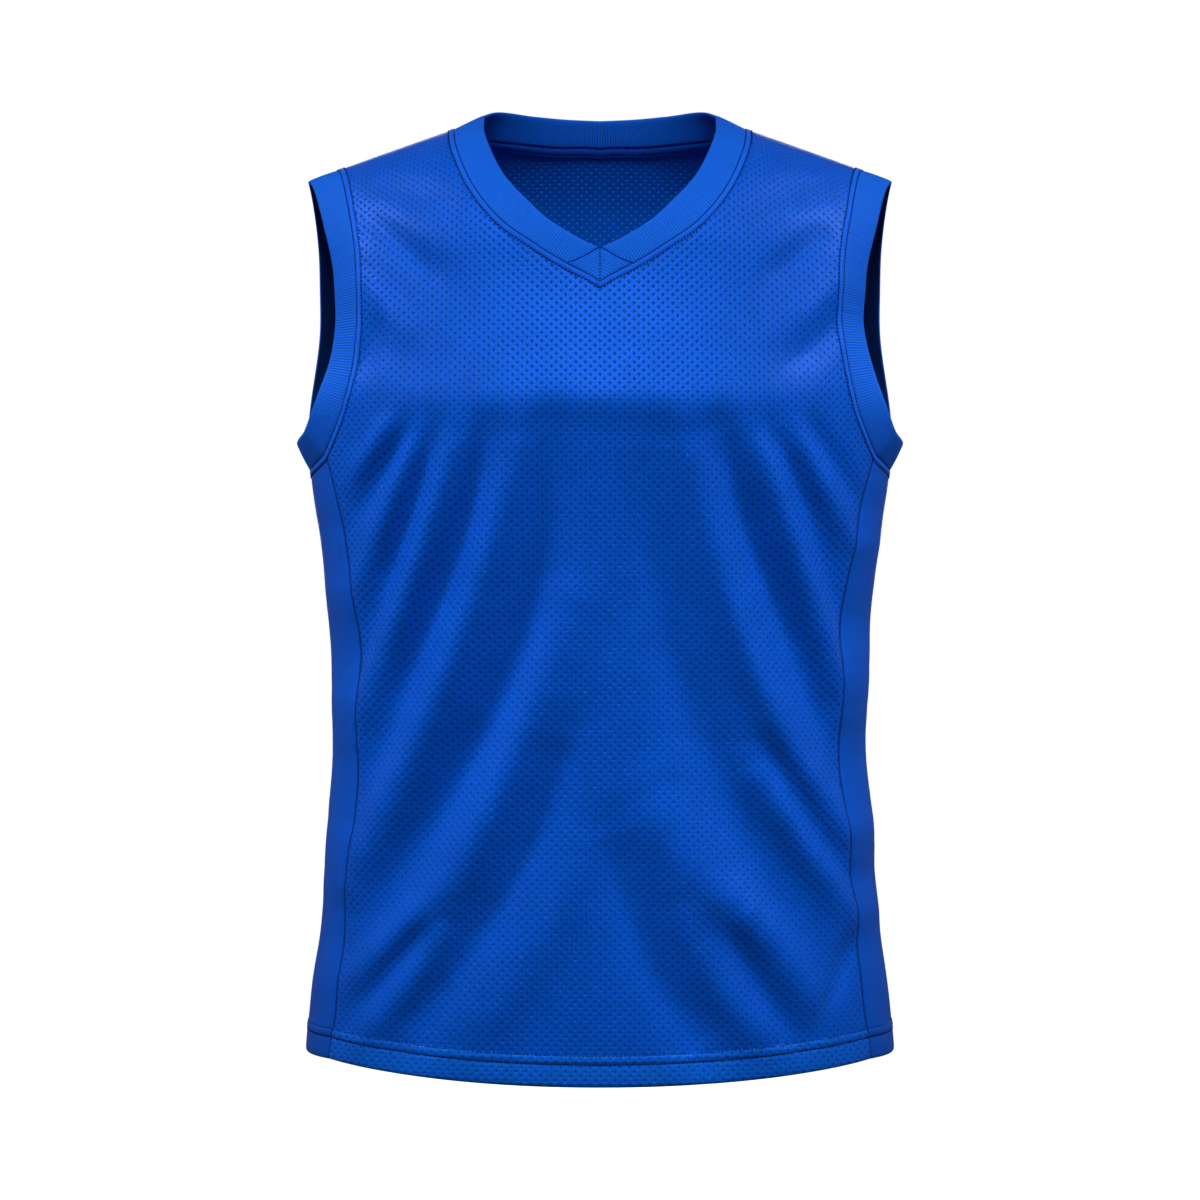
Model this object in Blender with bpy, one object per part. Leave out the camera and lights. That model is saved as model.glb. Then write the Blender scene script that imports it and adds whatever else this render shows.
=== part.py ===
"""A sleeveless V-necked sports jersey in mesh knit, filled out as if it were worn.

Metres, +Z up. The front faces -Y. The origin lies between the two points where the shoulder
seams meet the neck, which is where the shoulders of a wearer carry the jersey.

The body is a stack of rounded sections that closes over the shoulders. Front, back and side
panels are walls on that form. The neck band, mitres, armhole bands, hems and neck tape start
from the seam points of the panels, so that every seam keeps the same gap.
"""

import math
from typing import NamedTuple

import bmesh
import bpy
import numpy as np

# Cloth and seams
PANEL_THICKNESS = 0.0015
BAND_THICKNESS = 0.0024
HEM_THICKNESS = 0.0024
TAPE_THICKNESS = 0.0010
SEAM_GAP = 0.0003

# Widths of the sewn-on pieces
ARMHOLE_BAND_WIDTH = 0.0232
HEM_WIDTH = 0.0225
TAPE_WIDTH = 0.0065
TAPE_DROP = 0.0010
TAPE_GAP = 0.0005

# Mitres: how far they reach up the neck seam, the power that keeps their cut straight as the
# band turns, and the share of the band's width left clear beside it
MITRE_LENGTH = 0.027
MITRE_BEND = 1.5
MITRE_CLEARANCE = 0.02

# Shoulder ridge: a slope either side of the neck, rounded over at the middle
RIDGE_SLOPE = 0.364
RIDGE_ROUND = 0.040
NECK_POINT_X = 0.108
SHOULDER_TIP_X = 0.1947
FRONT_ROUND = 0.112
BACK_ROUND = 0.102
ROUND_TAPER = 0.034

# Powers: how full each section is between round and square, and how soon a fold rises
FULLNESS = 2.3
FOLD_FADE = 0.45

# Hem and underarm
HEM_SIDE_Z = -0.676
HEM_DIP = 0.015
UNDERARM_X = 0.1990
UNDERARM_Z = -0.2415
UNDERARM_DIP = 0.0115
UNDERARM_BEND = 0.75

# Cells of each panel
HALF_CELLS = 18
SIDE_ROWS = 26
ARMHOLE_ROWS = 12
FRONT_NECK_CELLS = 11
BACK_NECK_CELLS = 7
SIDE_CELLS = 8
MITRE_CELLS = 2
TAPE_CELLS = 5


class Section(NamedTuple):
    """One level of the body: its height, half width and depths to the front and back."""

    height: float
    half_width: float
    front_depth: float
    back_depth: float


SECTIONS = (
    Section(0.040, 0.200, 0.068, 0.080),
    Section(0.000, 0.208, 0.074, 0.084),
    Section(-0.060, 0.214, 0.086, 0.095),
    Section(-0.121, 0.216, 0.098, 0.104),
    Section(-0.165, 0.216, 0.1100, 0.107),
    Section(-0.200, 0.216, 0.1190, 0.106),
    Section(-0.212, 0.2158, 0.1202, 0.1045),
    Section(-0.235, 0.215, 0.1200, 0.102),
    Section(-0.259, 0.213, 0.1190, 0.099),
    Section(-0.318, 0.2045, 0.1170, 0.092),
    Section(-0.377, 0.199, 0.1163, 0.087),
    Section(-0.440, 0.1972, 0.1165, 0.085),
    Section(-0.496, 0.200, 0.1178, 0.088),
    Section(-0.570, 0.2048, 0.1200, 0.096),
    Section(-0.644, 0.214, 0.1225, 0.105),
    Section(-0.691, 0.2178, 0.1245, 0.110),
)


class SeamPoint(NamedTuple):
    """A point of a seam, seen from the front."""

    x: float
    z: float


SIDE_SEAM = (
    SeamPoint(UNDERARM_X, UNDERARM_Z),
    SeamPoint(0.1902, -0.276),
    SeamPoint(0.1815, -0.320),
    SeamPoint(0.1756, -0.365),
    SeamPoint(0.1748, -0.440),
    SeamPoint(0.1784, -0.507),
    SeamPoint(0.1855, -0.575),
    SeamPoint(0.1915, -0.649),
    SeamPoint(0.1975, -0.691),
)
FRONT_ARMHOLE = (
    SeamPoint(UNDERARM_X, UNDERARM_Z),
    SeamPoint(0.1941, -0.2313),
    SeamPoint(0.1868, -0.2137),
    SeamPoint(0.1820, -0.196),
    SeamPoint(0.1772, -0.171),
    SeamPoint(0.1749, -0.145),
    SeamPoint(0.1750, -0.120),
    SeamPoint(0.1778, -0.092),
    SeamPoint(0.1830, -0.065),
)
BACK_ARMHOLE = (
    SeamPoint(UNDERARM_X, UNDERARM_Z),
    SeamPoint(0.1972, -0.2165),
    SeamPoint(0.1946, -0.183),
    SeamPoint(0.1927, -0.140),
    SeamPoint(0.1928, -0.095),
    SeamPoint(0.1940, -0.055),
)


class Lean(NamedTuple):
    """How far an armhole band leans out of its panel at a height, in radians."""

    height: float
    angle: float


FRONT_LEANS = (
    Lean(UNDERARM_Z, 0.38),
    Lean(-0.215, 0.32),
    Lean(-0.190, 0.10),
    Lean(-0.155, -0.14),
    Lean(-0.110, -0.18),
    Lean(-0.060, 0.0),
    Lean(0.0, 0.0),
)
BACK_LEANS = (
    Lean(UNDERARM_Z, 0.38),
    Lean(-0.228, 0.60),
    Lean(-0.205, 0.58),
    Lean(-0.185, 0.38),
    Lean(-0.155, 0.14),
    Lean(-0.110, 0.12),
    Lean(-0.060, 0.06),
    Lean(0.0, 0.0),
)


class NeckStation(NamedTuple):
    """A place on the neck band: its seam, seen from the front, and its free edge."""

    seam_x: float
    seam_z: float
    edge_x: float
    edge_y: float
    edge_z: float


FRONT_NECK = (
    NeckStation(0.0000, -0.1211, 0.0000, -0.0920, -0.0965),
    NeckStation(0.0240, -0.1078, 0.0136, -0.0910, -0.0899),
    NeckStation(0.0500, -0.0912, 0.0376, -0.0855, -0.0744),
    NeckStation(0.0667, -0.0793, 0.0515, -0.0790, -0.0609),
    NeckStation(0.0900, -0.0515, 0.0695, -0.0630, -0.0395),
    NeckStation(0.1040, -0.0200, 0.0825, -0.0360, -0.0110),
)
SHOULDER_NECK = NeckStation(NECK_POINT_X, 0.0, 0.0862, 0.0010, 0.0110)
BACK_NECK = (
    NeckStation(0.0960, -0.0008, 0.0770, 0.0200, 0.0166),
    NeckStation(0.0600, -0.0032, 0.0490, 0.0420, 0.0162),
    NeckStation(0.0300, -0.0046, 0.0250, 0.0510, 0.0152),
    NeckStation(0.0000, -0.0050, 0.0000, 0.0540, 0.0145),
)


class Fold(NamedTuple):
    """A soft ridge, or a trough where height is negative, along a bent line on a panel."""

    start_x: float
    start_z: float
    bend_x: float
    bend_z: float
    end_x: float
    end_z: float
    width: float
    height: float


FRONT_FOLDS = (
    Fold(-0.100, -0.224, -0.120, -0.304, -0.178, -0.447, 0.011, 0.0068),
    Fold(-0.078, -0.224, -0.093, -0.303, -0.179, -0.505, 0.012, -0.0070),
    Fold(-0.059, -0.225, -0.074, -0.351, -0.179, -0.554, 0.015, 0.0090),
    Fold(-0.037, -0.224, -0.035, -0.411, -0.181, -0.593, 0.019, -0.0095),
    Fold(-0.023, -0.348, -0.075, -0.513, -0.119, -0.568, 0.017, 0.0078),
    Fold(-0.113, -0.554, -0.152, -0.593, -0.182, -0.626, 0.011, 0.0042),
    Fold(-0.027, -0.440, -0.047, -0.538, -0.140, -0.665, 0.015, -0.0064),
    Fold(-0.014, -0.524, -0.044, -0.609, -0.095, -0.665, 0.016, 0.0032),
    Fold(0.084, -0.228, 0.113, -0.321, 0.184, -0.493, 0.012, -0.0078),
    Fold(0.064, -0.224, 0.088, -0.411, 0.185, -0.530, 0.012, 0.0078),
    Fold(0.037, -0.235, 0.033, -0.440, 0.165, -0.602, 0.022, -0.0084),
    Fold(0.104, -0.462, 0.132, -0.507, 0.191, -0.588, 0.011, 0.0052),
    Fold(0.035, -0.482, 0.068, -0.559, 0.110, -0.582, 0.020, 0.0062),
    Fold(0.100, -0.560, 0.137, -0.604, 0.162, -0.654, 0.013, 0.0046),
    Fold(0.054, -0.558, 0.073, -0.620, 0.119, -0.667, 0.013, 0.0048),
    Fold(0.008, -0.510, 0.030, -0.601, 0.072, -0.668, 0.018, -0.0068),
    Fold(-0.179, -0.063, -0.139, -0.095, -0.113, -0.122, 0.011, -0.0038),
    Fold(-0.176, -0.109, -0.156, -0.141, -0.127, -0.164, 0.012, 0.0028),
    Fold(-0.175, -0.046, -0.144, -0.045, -0.102, -0.069, 0.013, -0.0022),
    Fold(0.164, -0.077, 0.146, -0.098, 0.120, -0.119, 0.011, -0.0032),
    Fold(0.178, -0.109, 0.157, -0.137, 0.130, -0.154, 0.012, 0.0024),
    Fold(0.178, -0.046, 0.148, -0.045, 0.104, -0.069, 0.013, -0.0018),
    Fold(-0.144, -0.205, 0.000, -0.211, 0.144, -0.205, 0.012, 0.0018),
    Fold(-0.025, -0.263, -0.005, -0.362, -0.028, -0.461, 0.032, 0.0016),
)
BACK_FOLDS = (
    Fold(-0.120, -0.190, -0.128, -0.300, -0.178, -0.420, 0.020, 0.0078),
    Fold(-0.070, -0.240, -0.092, -0.380, -0.176, -0.520, 0.022, 0.0075),
    Fold(-0.096, -0.215, -0.112, -0.340, -0.176, -0.470, 0.018, -0.0072),
    Fold(-0.030, -0.320, -0.060, -0.460, -0.165, -0.610, 0.025, -0.0078),
    Fold(0.116, -0.200, 0.130, -0.310, 0.176, -0.400, 0.018, 0.0070),
    Fold(0.066, -0.225, 0.098, -0.390, 0.180, -0.545, 0.021, 0.0080),
    Fold(0.094, -0.230, 0.110, -0.350, 0.174, -0.480, 0.017, -0.0070),
    Fold(0.026, -0.300, 0.070, -0.470, 0.160, -0.630, 0.026, -0.0080),
    Fold(-0.130, -0.120, 0.000, -0.105, 0.130, -0.120, 0.030, 0.0030),
)


class Face(NamedTuple):
    """The front or the back of the body form."""

    sign: int
    round_over: float
    folds: tuple


FRONT = Face(-1, FRONT_ROUND, FRONT_FOLDS)
BACK = Face(1, BACK_ROUND, BACK_FOLDS)


class Finish(NamedTuple):
    """Colour, in linear light, and roughness of one cloth."""

    red: float
    green: float
    blue: float
    roughness: float


MESH_KNIT = Finish(0.006, 0.085, 0.500, 0.55)
PLAIN_KNIT = Finish(0.006, 0.070, 0.430, 0.60)
RIB_KNIT = Finish(0.008, 0.091, 0.527, 0.70)
TAPE = Finish(0.004, 0.050, 0.330, 0.65)

# Places across a band or hem, and into its thickness, from the seam round the free edge
BAND_PROFILE = (
    (0.00, 0.0),
    (0.35, 0.0),
    (0.70, 0.0),
    (0.95, 0.0),
    (1.00, 0.3),
    (1.00, 0.7),
    (0.95, 1.0),
    (0.70, 1.0),
    (0.35, 1.0),
    (0.00, 1.0),
)
HEM_PROFILE = (
    (0.00, 0.0),
    (0.50, 0.0),
    (0.95, 0.0),
    (1.00, 0.3),
    (1.00, 0.7),
    (0.95, 1.0),
    (0.50, 1.0),
    (0.00, 1.0),
)


def smooth(at, knots, values):
    """Reads a smooth curve through values, one for each rising knot, at any places."""
    knots = np.asarray(knots, float)
    values = np.asarray(values, float)
    at = np.clip(np.asarray(at, float), knots[0], knots[-1])
    flat = values.reshape(len(knots), -1)
    steps = np.diff(knots)[:, None]
    slopes = np.diff(flat, axis=0) / steps
    inner = (slopes[:-1] * steps[1:] + slopes[1:] * steps[:-1]) / (steps[1:] + steps[:-1])
    tangents = np.vstack([slopes[:1], inner, slopes[-1:]])
    low = np.clip(np.searchsorted(knots, at, side="right") - 1, 0, len(knots) - 2)
    step = steps[low]
    part = ((at - knots[low])[..., None]) / step
    start, end = flat[low], flat[low + 1]
    leave, arrive = tangents[low] * step, tangents[low + 1] * step
    found = (
        (1 + 2 * part) * (1 - part) ** 2 * start
        + part * (1 - part) ** 2 * leave
        + part**2 * (3 - 2 * part) * end
        + part**2 * (part - 1) * arrive
    )
    return found.reshape(at.shape + values.shape[1:])


def chord_knots(points):
    """Running length along a line of points."""
    lengths = np.linalg.norm(np.diff(points, axis=0), axis=1)
    return np.concatenate([[0.0], np.cumsum(lengths)])


def unit(vectors):
    """Vectors of length one."""
    return vectors / np.linalg.norm(vectors, axis=-1, keepdims=True)


def section_at(height):
    """Half width, front depth and back depth of the body at each height."""
    rows = SECTIONS[::-1]
    knots = [row.height for row in rows]
    found = smooth(height, knots, [row[1:] for row in rows])
    return found[..., 0], found[..., 1], found[..., 2]


def ridge_height(x):
    """Height of the shoulder ridge, which is zero where it meets the neck."""
    top = RIDGE_SLOPE * math.hypot(NECK_POINT_X, RIDGE_ROUND)
    return top - RIDGE_SLOPE * np.hypot(x, RIDGE_ROUND)


def round_over_at(face, x):
    """How far below the ridge the cloth turns straight down, less towards the arms."""
    return face.round_over - ROUND_TAPER * (np.abs(x) / SHOULDER_TIP_X) ** 2


def drop_at(face, x, z):
    """Way down the cloth from the shoulder ridge to a height."""
    radius = round_over_at(face, x)
    below = (ridge_height(x) - z) / radius
    curved = np.arccos(np.clip(1 - below, 0, 1))
    return radius * (curved + np.clip(below - 1, 0, None))


def height_at(face, x, drop):
    """Height of the place that lies a drop below the shoulder ridge."""
    radius = round_over_at(face, x)
    turn = drop / radius
    straight = np.clip(turn - math.pi / 2, 0, None)
    curved = 1 - np.cos(np.clip(turn, 0, math.pi / 2))
    return ridge_height(x) - radius * (curved + straight)


def face_form(face, x, drop):
    """Points of the plain front or back form, without folds."""
    z = height_at(face, x, drop)
    half_width, front_depth, back_depth = section_at(z)
    depth = front_depth if face.sign < 0 else back_depth
    across = np.clip(1 - np.abs(x / half_width) ** FULLNESS, 0, None) ** (1 / FULLNESS)
    over = np.sin(np.clip(drop / round_over_at(face, x), 0, math.pi / 2))
    return np.stack([x, face.sign * depth * across * over, z], axis=-1)


def outward(form, first, second):
    """Unit normals of form(first, second) that point away from the body's middle."""
    step = 0.0002
    second = np.maximum(second, step) if form.from_ridge else second
    along = form(first + step, second) - form(first - step, second)
    down = form(first, second + step) - form(first, second - step)
    normal = unit(np.cross(along, down))
    middle = form(first, second) * (1, 1, 0)
    return normal * np.where((normal * middle).sum(-1, keepdims=True) < 0, -1, 1)


def relief(folds, x, z):
    """How far the folds lift the cloth at places seen from the front."""
    lift = np.zeros(np.shape(x))
    part = np.linspace(0, 1, 61)
    pull = np.stack([(1 - part) ** 2, 2 * part * (1 - part), part**2], axis=-1)
    for fold in folds:
        path_x = pull @ (fold.start_x, fold.bend_x, fold.end_x)
        path_z = pull @ (fold.start_z, fold.bend_z, fold.end_z)
        distance = np.hypot(x[..., None] - path_x, z[..., None] - path_z)
        nearest = part[distance.argmin(-1)]
        fade = np.sin(math.pi * np.clip(nearest, 0.02, 0.98)) ** FOLD_FADE
        lift += fold.height * fade * np.exp(-((distance.min(-1) / fold.width) ** 2))
    return lift


def hem_height(x):
    """Height of the bottom edge, which dips between the side seams."""
    half_width = section_at(HEM_SIDE_Z)[0]
    return HEM_SIDE_Z - HEM_DIP * np.clip(1 - (x / half_width) ** 2, 0, 1)


def side_seam_x(z):
    """Where the side seam runs at each height."""
    rows = SIDE_SEAM[::-1]
    return smooth(z, [row.z for row in rows], [row.x for row in rows])


def side_seam_line():
    """Seam points from the hem line up to the underarm, seen from the front."""
    bottom = hem_height(side_seam_x(HEM_SIDE_Z)) + HEM_WIDTH
    z = np.linspace(bottom, UNDERARM_Z, SIDE_ROWS + 1)
    return np.column_stack([side_seam_x(z), z])


def armhole_line(face):
    """Seam points from the underarm up to the shoulder tip, as x and drop."""
    rows = FRONT_ARMHOLE if face.sign < 0 else BACK_ARMHOLE
    line = [(row.x, drop_at(face, row.x, row.z)) for row in rows]
    line = np.array(line + [(SHOULDER_TIP_X, 0.0)])
    knots = chord_knots(line)
    return smooth(np.linspace(0, knots[-1], ARMHOLE_ROWS + 1), knots, line)


def neck_line(face):
    """Seam points of half a neckline from its middle to the shoulder, as x and drop.

    The free edge of the neck band beside each one comes with it.
    """
    rows = FRONT_NECK + (SHOULDER_NECK,) if face.sign < 0 else BACK_NECK[::-1] + (SHOULDER_NECK,)
    line = np.array([(row.seam_x, drop_at(face, row.seam_x, row.seam_z)) for row in rows])
    line[-1, 1] = 0.0
    knots = chord_knots(line)
    if face.sign < 0:
        mitre = np.linspace(0, MITRE_LENGTH, MITRE_CELLS + 1)
        rest = np.linspace(MITRE_LENGTH, knots[-1], FRONT_NECK_CELLS - MITRE_CELLS + 1)
        places = np.concatenate([mitre, rest[1:]])
    else:
        places = np.linspace(0, knots[-1], BACK_NECK_CELLS + 1)
    edge = np.array([row[2:] for row in rows])
    return smooth(places, knots, line), smooth(places, knots, edge)


def filled(bottom, top, left, right):
    """A net of places whose four edges are the given lines."""
    u = np.linspace(0, 1, len(bottom))[None, :, None]
    v = np.linspace(0, 1, len(left))[:, None, None]
    across = (1 - u) * left[:, None] + u * right[:, None]
    upward = (1 - v) * bottom[None] + v * top[None]
    corners = (1 - u) * (1 - v) * bottom[0] + u * (1 - v) * bottom[-1]
    corners = corners + (1 - u) * v * top[0] + u * v * top[-1]
    return across + upward - corners


class Net(NamedTuple):
    """Outer points and outward normals, in rows from the hem up."""

    points: np.ndarray
    normals: np.ndarray


class FaceForm:
    """The plain form of one face, for normals."""

    from_ridge = True

    def __init__(self, face):
        self.face = face

    def __call__(self, x, drop):
        return face_form(self.face, x, drop)


def face_net(face, places):
    """Outer points and normals of a face at x and drop places, with its folds."""
    x, drop = places[..., 0], places[..., 1]
    base = face_form(face, x, drop)
    normals = outward(FaceForm(face), x, drop)
    lift = relief(face.folds, x, base[..., 2])
    return Net(base + normals * lift[..., None], normals)


def half_places(face):
    """Places of half a panel at +X, as x and drop, in rows from the hem up.

    Its inner edge runs up the middle and then along the neck, its outer edge up the side
    seam and the armhole, and its top edge is the shoulder seam.
    """
    seam = side_seam_line()
    lower = np.column_stack([seam[:, 0], drop_at(face, seam[:, 0], seam[:, 1])])
    outer = np.vstack([lower, armhole_line(face)[1:]])
    neck = neck_line(face)[0]
    hem_drop = drop_at(face, 0.0, hem_height(0.0) + HEM_WIDTH)
    middle = np.linspace(hem_drop, neck[0, 1], len(outer) - len(neck) + 1)
    inner = np.vstack([np.column_stack([0 * middle, middle])[:-1], neck])
    x = outer[0, 0] * np.linspace(0, 1, HALF_CELLS + 1)
    bottom = np.column_stack([x, drop_at(face, x, hem_height(x) + HEM_WIDTH)])
    x = np.linspace(NECK_POINT_X, SHOULDER_TIP_X, HALF_CELLS + 1)
    top = np.column_stack([x, 0 * x])
    return filled(bottom, top, inner, outer)


class Panel:
    """A wall's outer points, normals and faces, its edge, and its seams by name.

    The edge runs anticlockwise as seen from outside.
    """

    def __init__(self, nets, edge, seams):
        self.points = np.concatenate([net.points.reshape(-1, 3) for net in nets])
        self.normals = np.concatenate([net.normals.reshape(-1, 3) for net in nets])
        self.edge = edge
        self.seams = seams
        self.faces = []

    def add_faces(self, places):
        """Adds the cells of a net of point numbers."""
        low, high = places[:-1], places[1:]
        cells = np.stack([low[:, :-1], low[:, 1:], high[:, 1:], high[:, :-1]], axis=-1)
        self.faces += cells.reshape(-1, 4).tolist()

    def add_half(self, places, from_middle):
        """Adds the cells of half a panel, each cut in two the way that the folds run.

        The folds fall away from the middle, which is the net's first or last column.
        """
        low, high = places[:-1], places[1:]
        corners = np.stack([low[:, :-1], low[:, 1:], high[:, 1:], high[:, :-1]], axis=-1)
        cuts = ((0, 1, 3), (1, 2, 3)) if from_middle else ((0, 1, 2), (0, 2, 3))
        for cut in cuts:
            self.faces += corners[..., cut].reshape(-1, 3).tolist()

    def seam(self, name):
        """Points and normals along one seam."""
        line = self.seams[name]
        return Net(self.points[line], self.normals[line])


def face_panel(face):
    """The front or back panel: two halves that share the line up the middle."""
    places = half_places(face)
    right = face_net(face, places)
    left = face_net(face, places * (-1, 1))
    rows, columns = places.shape[:2]
    neck_cells = FRONT_NECK_CELLS if face.sign < 0 else BACK_NECK_CELLS
    shared = rows - neck_cells
    right_places = np.arange(rows * columns).reshape(rows, columns)
    left_places = right_places + rows * columns
    left_places[:shared, 0] = right_places[:shared, 0]
    low = slice(0, SIDE_ROWS + 1)
    high = slice(SIDE_ROWS, rows)
    neck = slice(shared - 1, rows)
    seams = {}
    for hand, own in (("right", right_places), ("left", left_places)):
        seams["hem_" + hand] = own[0]
        seams["side_" + hand] = own[low, -1]
        seams["armhole_" + hand] = own[high, -1]
        seams["shoulder_" + hand] = own[-1][::-1]
        seams["neck_" + hand] = own[neck, 0]
    edge = [seams["hem_left"][::-1], seams["hem_right"][1:]]
    edge += [seams[name + "_right"][1:] for name in ("side", "armhole", "shoulder")]
    edge += [seams["neck_right"][::-1][1:], seams["neck_left"][1:]]
    edge += [seams[name + "_left"][::-1][1:] for name in ("shoulder", "armhole", "side")]
    edge = np.concatenate(edge)[:-1]
    panel = Panel([right, left], edge if face.sign < 0 else edge[::-1], seams)
    panel.add_half(right_places[:, :: -face.sign], face.sign < 0)
    panel.add_half(left_places[:, :: face.sign], face.sign > 0)
    return panel


class SideForm:
    """The body's side between the two side seams, by part of the way round and height."""

    from_ridge = False

    def __call__(self, part, z):
        half_width, front_depth, back_depth = section_at(z)
        corner = np.arccos(np.clip((side_seam_x(z) / half_width) ** (FULLNESS / 2), 0, 1))
        angle = corner * (2 * part - 1)
        depth = np.where(angle < 0, front_depth, back_depth)
        y = np.sign(angle) * depth * np.abs(np.sin(angle)) ** (2 / FULLNESS)
        return np.stack([half_width * np.cos(angle) ** (2 / FULLNESS), y, z], axis=-1)


def side_lift(hand, part, z):
    """Folds that run on from the front and back panels, dying out over the side."""
    seam_x = hand * side_seam_x(z)
    front = relief(FRONT_FOLDS, seam_x, z)
    back = relief(BACK_FOLDS, seam_x, z)
    return front * (1 - part) ** 2 + back * part**2


def side_panel(hand, front, back):
    """A side panel between the side seams of the front and back panels."""
    part = np.linspace(0, 1, SIDE_CELLS + 1)[None, :]
    rise = np.linspace(0, 1, SIDE_ROWS + 1)[:, None]
    bottom_z = hem_height(side_seam_x(HEM_SIDE_Z)) + HEM_WIDTH
    top_z = UNDERARM_Z - UNDERARM_DIP * np.sin(math.pi * part) ** UNDERARM_BEND
    z = bottom_z + (top_z - bottom_z) * rise
    part = np.broadcast_to(part, z.shape)
    normals = outward(SideForm(), np.clip(part, 0.001, 0.999), z)
    points = SideForm()(part, z) + normals * side_lift(hand, part, z)[..., None]
    points, normals = points * (hand, 1, 1), normals * (hand, 1, 1)
    name = "side_right" if hand > 0 else "side_left"
    for own, front_seam, back_seam in zip((points, normals), front.seam(name), back.seam(name)):
        own[:, 0] = front_seam
        own[:, -1] = back_seam
    places = np.arange(z.size).reshape(z.shape)
    seams = {"hem": places[0], "armhole": places[-1]}
    if hand < 0:
        places = places[:, ::-1]
    edge = [places[0], places[1:, -1], places[-1, :-1][::-1], places[1:-1, 0][::-1]]
    panel = Panel([Net(points, normals)], np.concatenate(edge), seams)
    panel.add_faces(places)
    return panel


def drawn_back(panel):
    """Outer points with the panel's edge moved in by half the seam gap."""
    edge, normals = panel.points[panel.edge], panel.normals[panel.edge]
    ahead = unit(np.roll(edge, -1, 0) - edge)
    inward = unit(np.cross(normals, ahead))
    behind = np.roll(inward, 1, 0)
    mitre = (inward + behind) / (1 + (inward * behind).sum(-1, keepdims=True))
    points = panel.points.copy()
    points[panel.edge] = edge + mitre * SEAM_GAP / 2
    return points


def add_object(name, points, faces, finish):
    """One closed piece from points and faces, with faces out and quads cut short."""
    mesh = bmesh.new()
    corners = [mesh.verts.new(point) for point in points]
    for face in faces:
        mesh.faces.new([corners[place] for place in face])
    loose = [corner for corner in corners if not corner.link_faces]
    bmesh.ops.delete(mesh, geom=loose, context="VERTS")
    bmesh.ops.recalc_face_normals(mesh, faces=mesh.faces)
    bmesh.ops.triangulate(mesh, faces=mesh.faces, quad_method="SHORT_EDGE")
    data = bpy.data.meshes.new(name)
    mesh.to_mesh(data)
    mesh.free()
    data.shade_smooth()
    data.set_sharp_from_angle(angle=math.radians(50))
    data.materials.append(cloth_material(name, finish))
    piece = bpy.data.objects.new(name, data)
    bpy.context.scene.collection.objects.link(piece)


def add_sweep(name, stations, closed, finish):
    """One closed wall from stations, each the same loop of points round a section."""
    stations = np.asarray(stations)
    count, around = stations.shape[:2]
    places = np.arange(count * around).reshape(count, around)
    faces = []
    for station in range(count if closed else count - 1):
        here, there = places[station], places[(station + 1) % count]
        for place in range(around):
            after = (place + 1) % around
            faces.append((here[place], there[place], there[after], here[after]))
    if not closed:
        for ring in (places[0], places[-1]):
            for place in range(around // 2 - 1):
                faces.append((ring[place], ring[place + 1], ring[-2 - place], ring[-1 - place]))
    add_object(name, stations.reshape(-1, 3), faces, finish)


def cloth_material(name, finish):
    """A plain cloth finish for one piece."""
    material = bpy.data.materials.new(name + "_cloth")
    material.use_nodes = True
    shader = material.node_tree.nodes["Principled BSDF"]
    shader.inputs["Base Color"].default_value = (finish.red, finish.green, finish.blue, 1)
    shader.inputs["Roughness"].default_value = finish.roughness
    shader.inputs["Metallic"].default_value = 0.0
    return material


def add_panel(name, panel, finish):
    """A panel's wall: its outer points, the same moved in, and the rim between them."""
    outer = drawn_back(panel)
    inner = outer - panel.normals * PANEL_THICKNESS
    count = len(outer)
    faces = list(panel.faces)
    faces += [[place + count for place in face] for face in panel.faces]
    for here, there in zip(panel.edge, np.roll(panel.edge, -1)):
        faces.append((here, there, there + count, here + count))
    add_object(name, np.concatenate([outer, inner]), faces, finish)


def strip_stations(seam, seam_normals, edge, edge_normals, profile, thickness):
    """Sections of a band or hem between its seam and its free edge."""
    start = seam + unit(edge - seam) * SEAM_GAP / 2
    loops = []
    for across, deep in profile:
        normals = seam_normals if across == 0 else edge_normals
        loops.append(start + (edge - start) * across - normals * thickness * deep)
    return np.stack(loops, axis=1)


def trimmed(stations, distance):
    """Stations of an open strip with both ends drawn back."""
    stations = stations.copy()
    for end, beside in ((0, 1), (-1, -2)):
        way = stations[beside, 0] - stations[end, 0]
        stations[end] = stations[end] + unit(way) * distance
    return stations


def armhole_rim(hand_name, front, back, side):
    """The armhole's seam: down the front, under the arm and up the back."""
    seams = (
        front.seam("armhole_" + hand_name),
        side.seam("armhole"),
        back.seam("armhole_" + hand_name),
    )
    return [
        np.concatenate([down[::-1], under[1:-1], up[:-1]])
        for down, under, up in zip(*seams)
    ]


def evened(vectors):
    """Directions round a closed seam, evened out with their neighbours."""
    for _ in range(2):
        vectors = np.roll(vectors, 1, 0) + 2 * vectors + np.roll(vectors, -1, 0)
    return unit(vectors)


def lean_at(points):
    """How far an armhole band leans out of the cloth at points of its seam."""
    heights = np.clip(points[:, 2], UNDERARM_Z, 0.0)
    front = smooth(heights, *zip(*FRONT_LEANS))
    back = smooth(heights, *zip(*BACK_LEANS))
    return np.where(points[:, 1] < 0, front, back)[:, None]


def add_armhole_band(name, rim, hand):
    """A doubled rib band round one armhole, leaning out under the arm."""
    points, normals = (line * (hand, 1, 1) for line in rim)
    ahead = unit(np.roll(points, -1, 0) - np.roll(points, 1, 0))
    inward = evened(unit(np.cross(normals, ahead)))
    lean = lean_at(points)
    facing = evened(normals * np.cos(lean) - inward * np.sin(lean))
    edge = points + (inward * np.cos(lean) + normals * np.sin(lean)) * ARMHOLE_BAND_WIDTH
    stations = strip_stations(points, normals, edge, facing, BAND_PROFILE, BAND_THICKNESS)
    add_sweep(name, stations * (hand, 1, 1), True, RIB_KNIT)


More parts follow.
